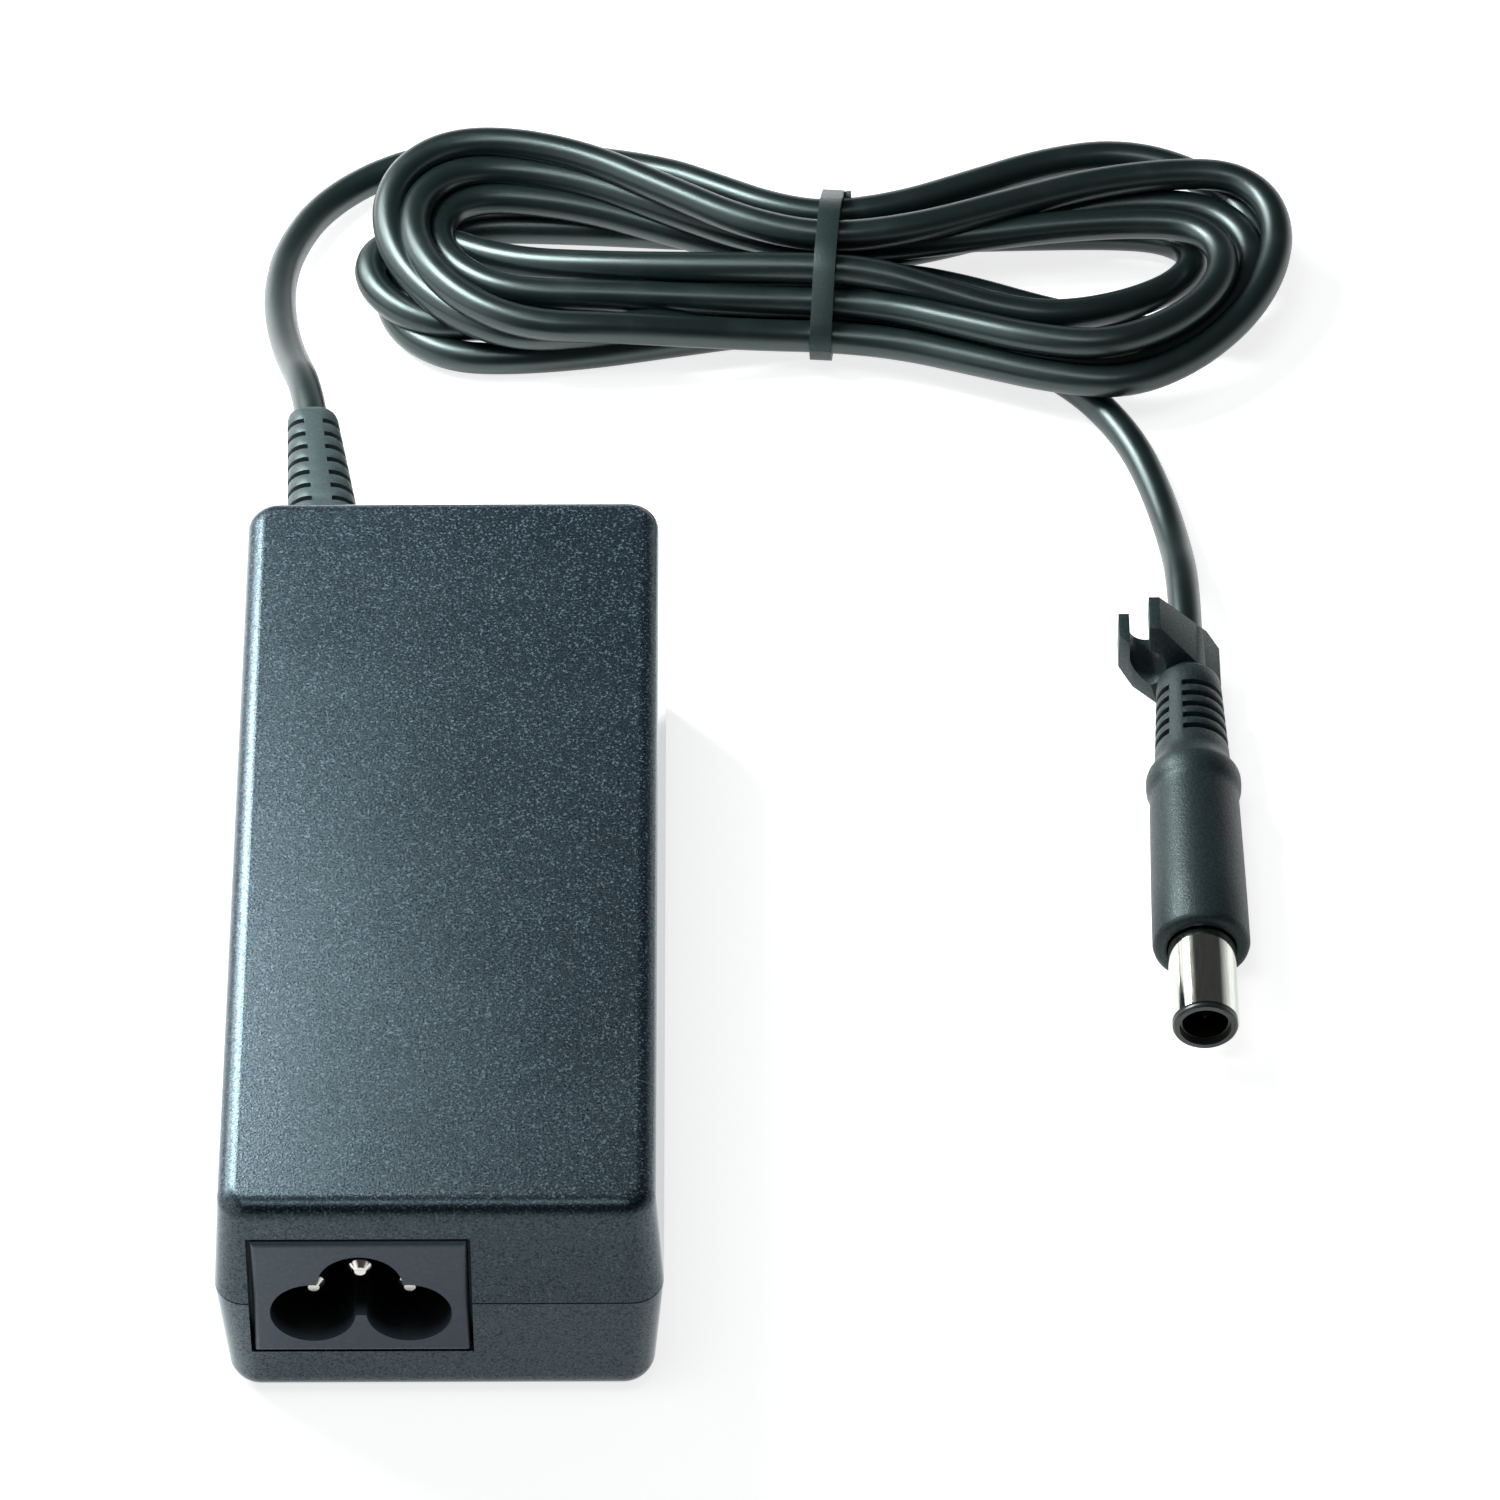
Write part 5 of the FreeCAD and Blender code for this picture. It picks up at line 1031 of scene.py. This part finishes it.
choke_wire = wound("choke_wire", pitch=0.8, wire=(0.55, 0.20, 0.06), gap=(0.08, 0.02, 0.008),
                   turn=(0.0, 0.0, math.radians(90)), roughness=0.25, height=0.2, metallic=0.8)
for node in ("choke_winding_left", "choke_winding_right"):
    dress(node, choke_wire)
dress("transformer_winding", wound(
    "winding_tape", pitch=2.2, wire=(0.62, 0.48, 0.06), gap=(0.36, 0.26, 0.03),
    turn=(0.0, math.radians(90), 0.0), roughness=0.32, height=0.04, metallic=0.0))
dress("choke_core", grained(
    "choke_core_lacquer", colour=(0.03, 0.12, 0.06), fleck=(0.06, 0.17, 0.09), size=0.6, share=0.5,
    roughness=0.4, height=0.02))
dress("transformer_core", grained(
    "ferrite", colour=(0.035, 0.035, 0.038), fleck=(0.07, 0.07, 0.075), size=0.5, share=0.5,
    roughness=0.6, height=0.02))
dress("transformer_bobbin", grained(
    "bobbin_plastic", colour=(0.020, 0.020, 0.021), fleck=(0.045, 0.045, 0.046), size=0.5, share=0.4,
    roughness=0.45, height=0.008))
for node in ("filter_choke", "output_choke"):
    dress(node, wound(
        node + "_wire", pitch=0.9, wire=(0.50, 0.18, 0.06), gap=(0.06, 0.02, 0.01),
        turn=(0.0, math.radians(90), 0.0), roughness=0.28, height=0.2, metallic=0.7))


# Electrolytic capacitors: aluminium cans in a dark shrink sleeve with a pale stripe down the
# negative side. The bare top of the can carries a stamped cross.

stripe_colour = (0.42, 0.44, 0.48)
bare_aluminium = (0.72, 0.72, 0.73)
cross_depth = 20.0

# Where each mark starts and where it is full: the stripe by angle, the bare end by its share of the
# can's width and by its depth in mm, and the cross by the distance from its lines in mm
stripe_edge = (0.42, 0.40)
bare_edge = (0.40, 0.38)
end_depth = (0.4, 0.3)
cross_edge = (0.25, 0.10)


def sleeved(node, lies_down):
    """A can's sleeve, stripe and bare end, round the can's own axis."""
    low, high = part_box(node)
    middle = [(a + b) / 2 for a, b in zip(low, high)]
    width = high[0] - low[0]
    if lies_down:
        turn = (math.radians(90), 0.0, 0.0)
        shift = (-middle[0], high[2] - width / 2, -high[1])
    else:
        turn = (0.0, 0.0, 0.0)
        shift = (-middle[0], -middle[1], -high[2])
    material, tree, surface, place = new_material(node + "_sleeve", turn=turn, shift=shift, specular=0.6)
    parts = split_place(tree, place)
    angle = calculate(tree, "ABSOLUTE", calculate(tree, "ARCTAN2", parts["X"], parts["Y"]))
    stripe = remap(tree, angle, *stripe_edge)
    squares = [calculate(tree, "POWER", parts[axis], 2.0) for axis in ("X", "Y")]
    radius = calculate(tree, "SQRT", calculate(tree, "ADD", *squares))
    inside = remap(tree, radius, width * bare_edge[0], width * bare_edge[1])
    from_end = calculate(tree, "ABSOLUTE", parts["Z"])
    at_end = remap(tree, from_end, end_depth[0] * MM, end_depth[1] * MM)
    bare = calculate(tree, "MULTIPLY", inside, at_end)
    off_lines = [calculate(tree, "ABSOLUTE", parts[axis]) for axis in ("X", "Y")]
    nearest = calculate(tree, "MINIMUM", *off_lines)
    on_line = remap(tree, nearest, cross_edge[0] * MM, cross_edge[1] * MM)
    cross = calculate(tree, "MULTIPLY", bare, on_line)
    body = add_grain(tree, place, colour=(0.012, 0.016, 0.035), fleck=(0.03, 0.036, 0.06), size=0.5,
                     share=0.4, roughness=0.30)
    striped = blend_colours(tree, stripe, body.outputs["Colour"], stripe_colour)
    skin = blend_colours(tree, bare, striped, bare_aluminium)
    tree.links.new(bare, surface.inputs["Metallic"])
    stamped = calculate(tree, "MULTIPLY", cross, cross_depth)
    relief = calculate(tree, "SUBTRACT", body.outputs["Height"], stamped)
    cover(tree, surface, skin, body.outputs["Roughness"], relief, distance=0.01)
    dress(node, material)


sleeved("bulk_capacitor", lies_down=True)
sleeved("output_capacitor_a", lies_down=False)
sleeved("output_capacitor_b", lies_down=False)


# Heatsinks: bent aluminium plates with rolling marks. Each transistor or diode is screwed to its
# plate with a thin grey pad of silicone rubber between them.

rolled_aluminium = grained("rolled_aluminium", colour=(0.62, 0.63, 0.64), fleck=(0.48, 0.49, 0.50),
                           size=0.25, share=0.6, roughness=0.32, height=0.004, metallic=1.0,
                           stretch=(1.0, 0.05, 1.0))
pad_rubber = grained("pad_rubber", colour=(0.26, 0.27, 0.29), fleck=(0.36, 0.37, 0.39), size=0.3,
                     share=0.5, roughness=0.65, height=0.01)
screw_zinc = grained("screw_zinc", colour=(0.58, 0.58, 0.60), fleck=(0.40, 0.40, 0.42), size=0.3,
                     share=0.5, roughness=0.28, height=0.006, metallic=1.0)
for side in ("primary", "secondary"):
    dress(side + "_heatsink", rolled_aluminium)
    dress(side + "_insulating_pad", pad_rubber)
    dress(side + "_screw", screw_zinc)


# Shield and film: a folded copper sheet round the whole board, kept off the parts by a folded
# sheet of milky plastic film.

dress("shield", grained(
    "shield_copper", colour=(0.62, 0.30, 0.17), fleck=(0.42, 0.18, 0.09), size=0.9, share=0.5,
    roughness=0.30, height=0.006, metallic=1.0, stretch=(1.0, 0.1, 1.0)))
dress("insulation_film", grained(
    "milky_film", colour=(0.62, 0.63, 0.61), fleck=(0.74, 0.75, 0.73), size=0.8, share=0.5,
    roughness=0.38, height=0.01))


bpy.context.view_layer.update()
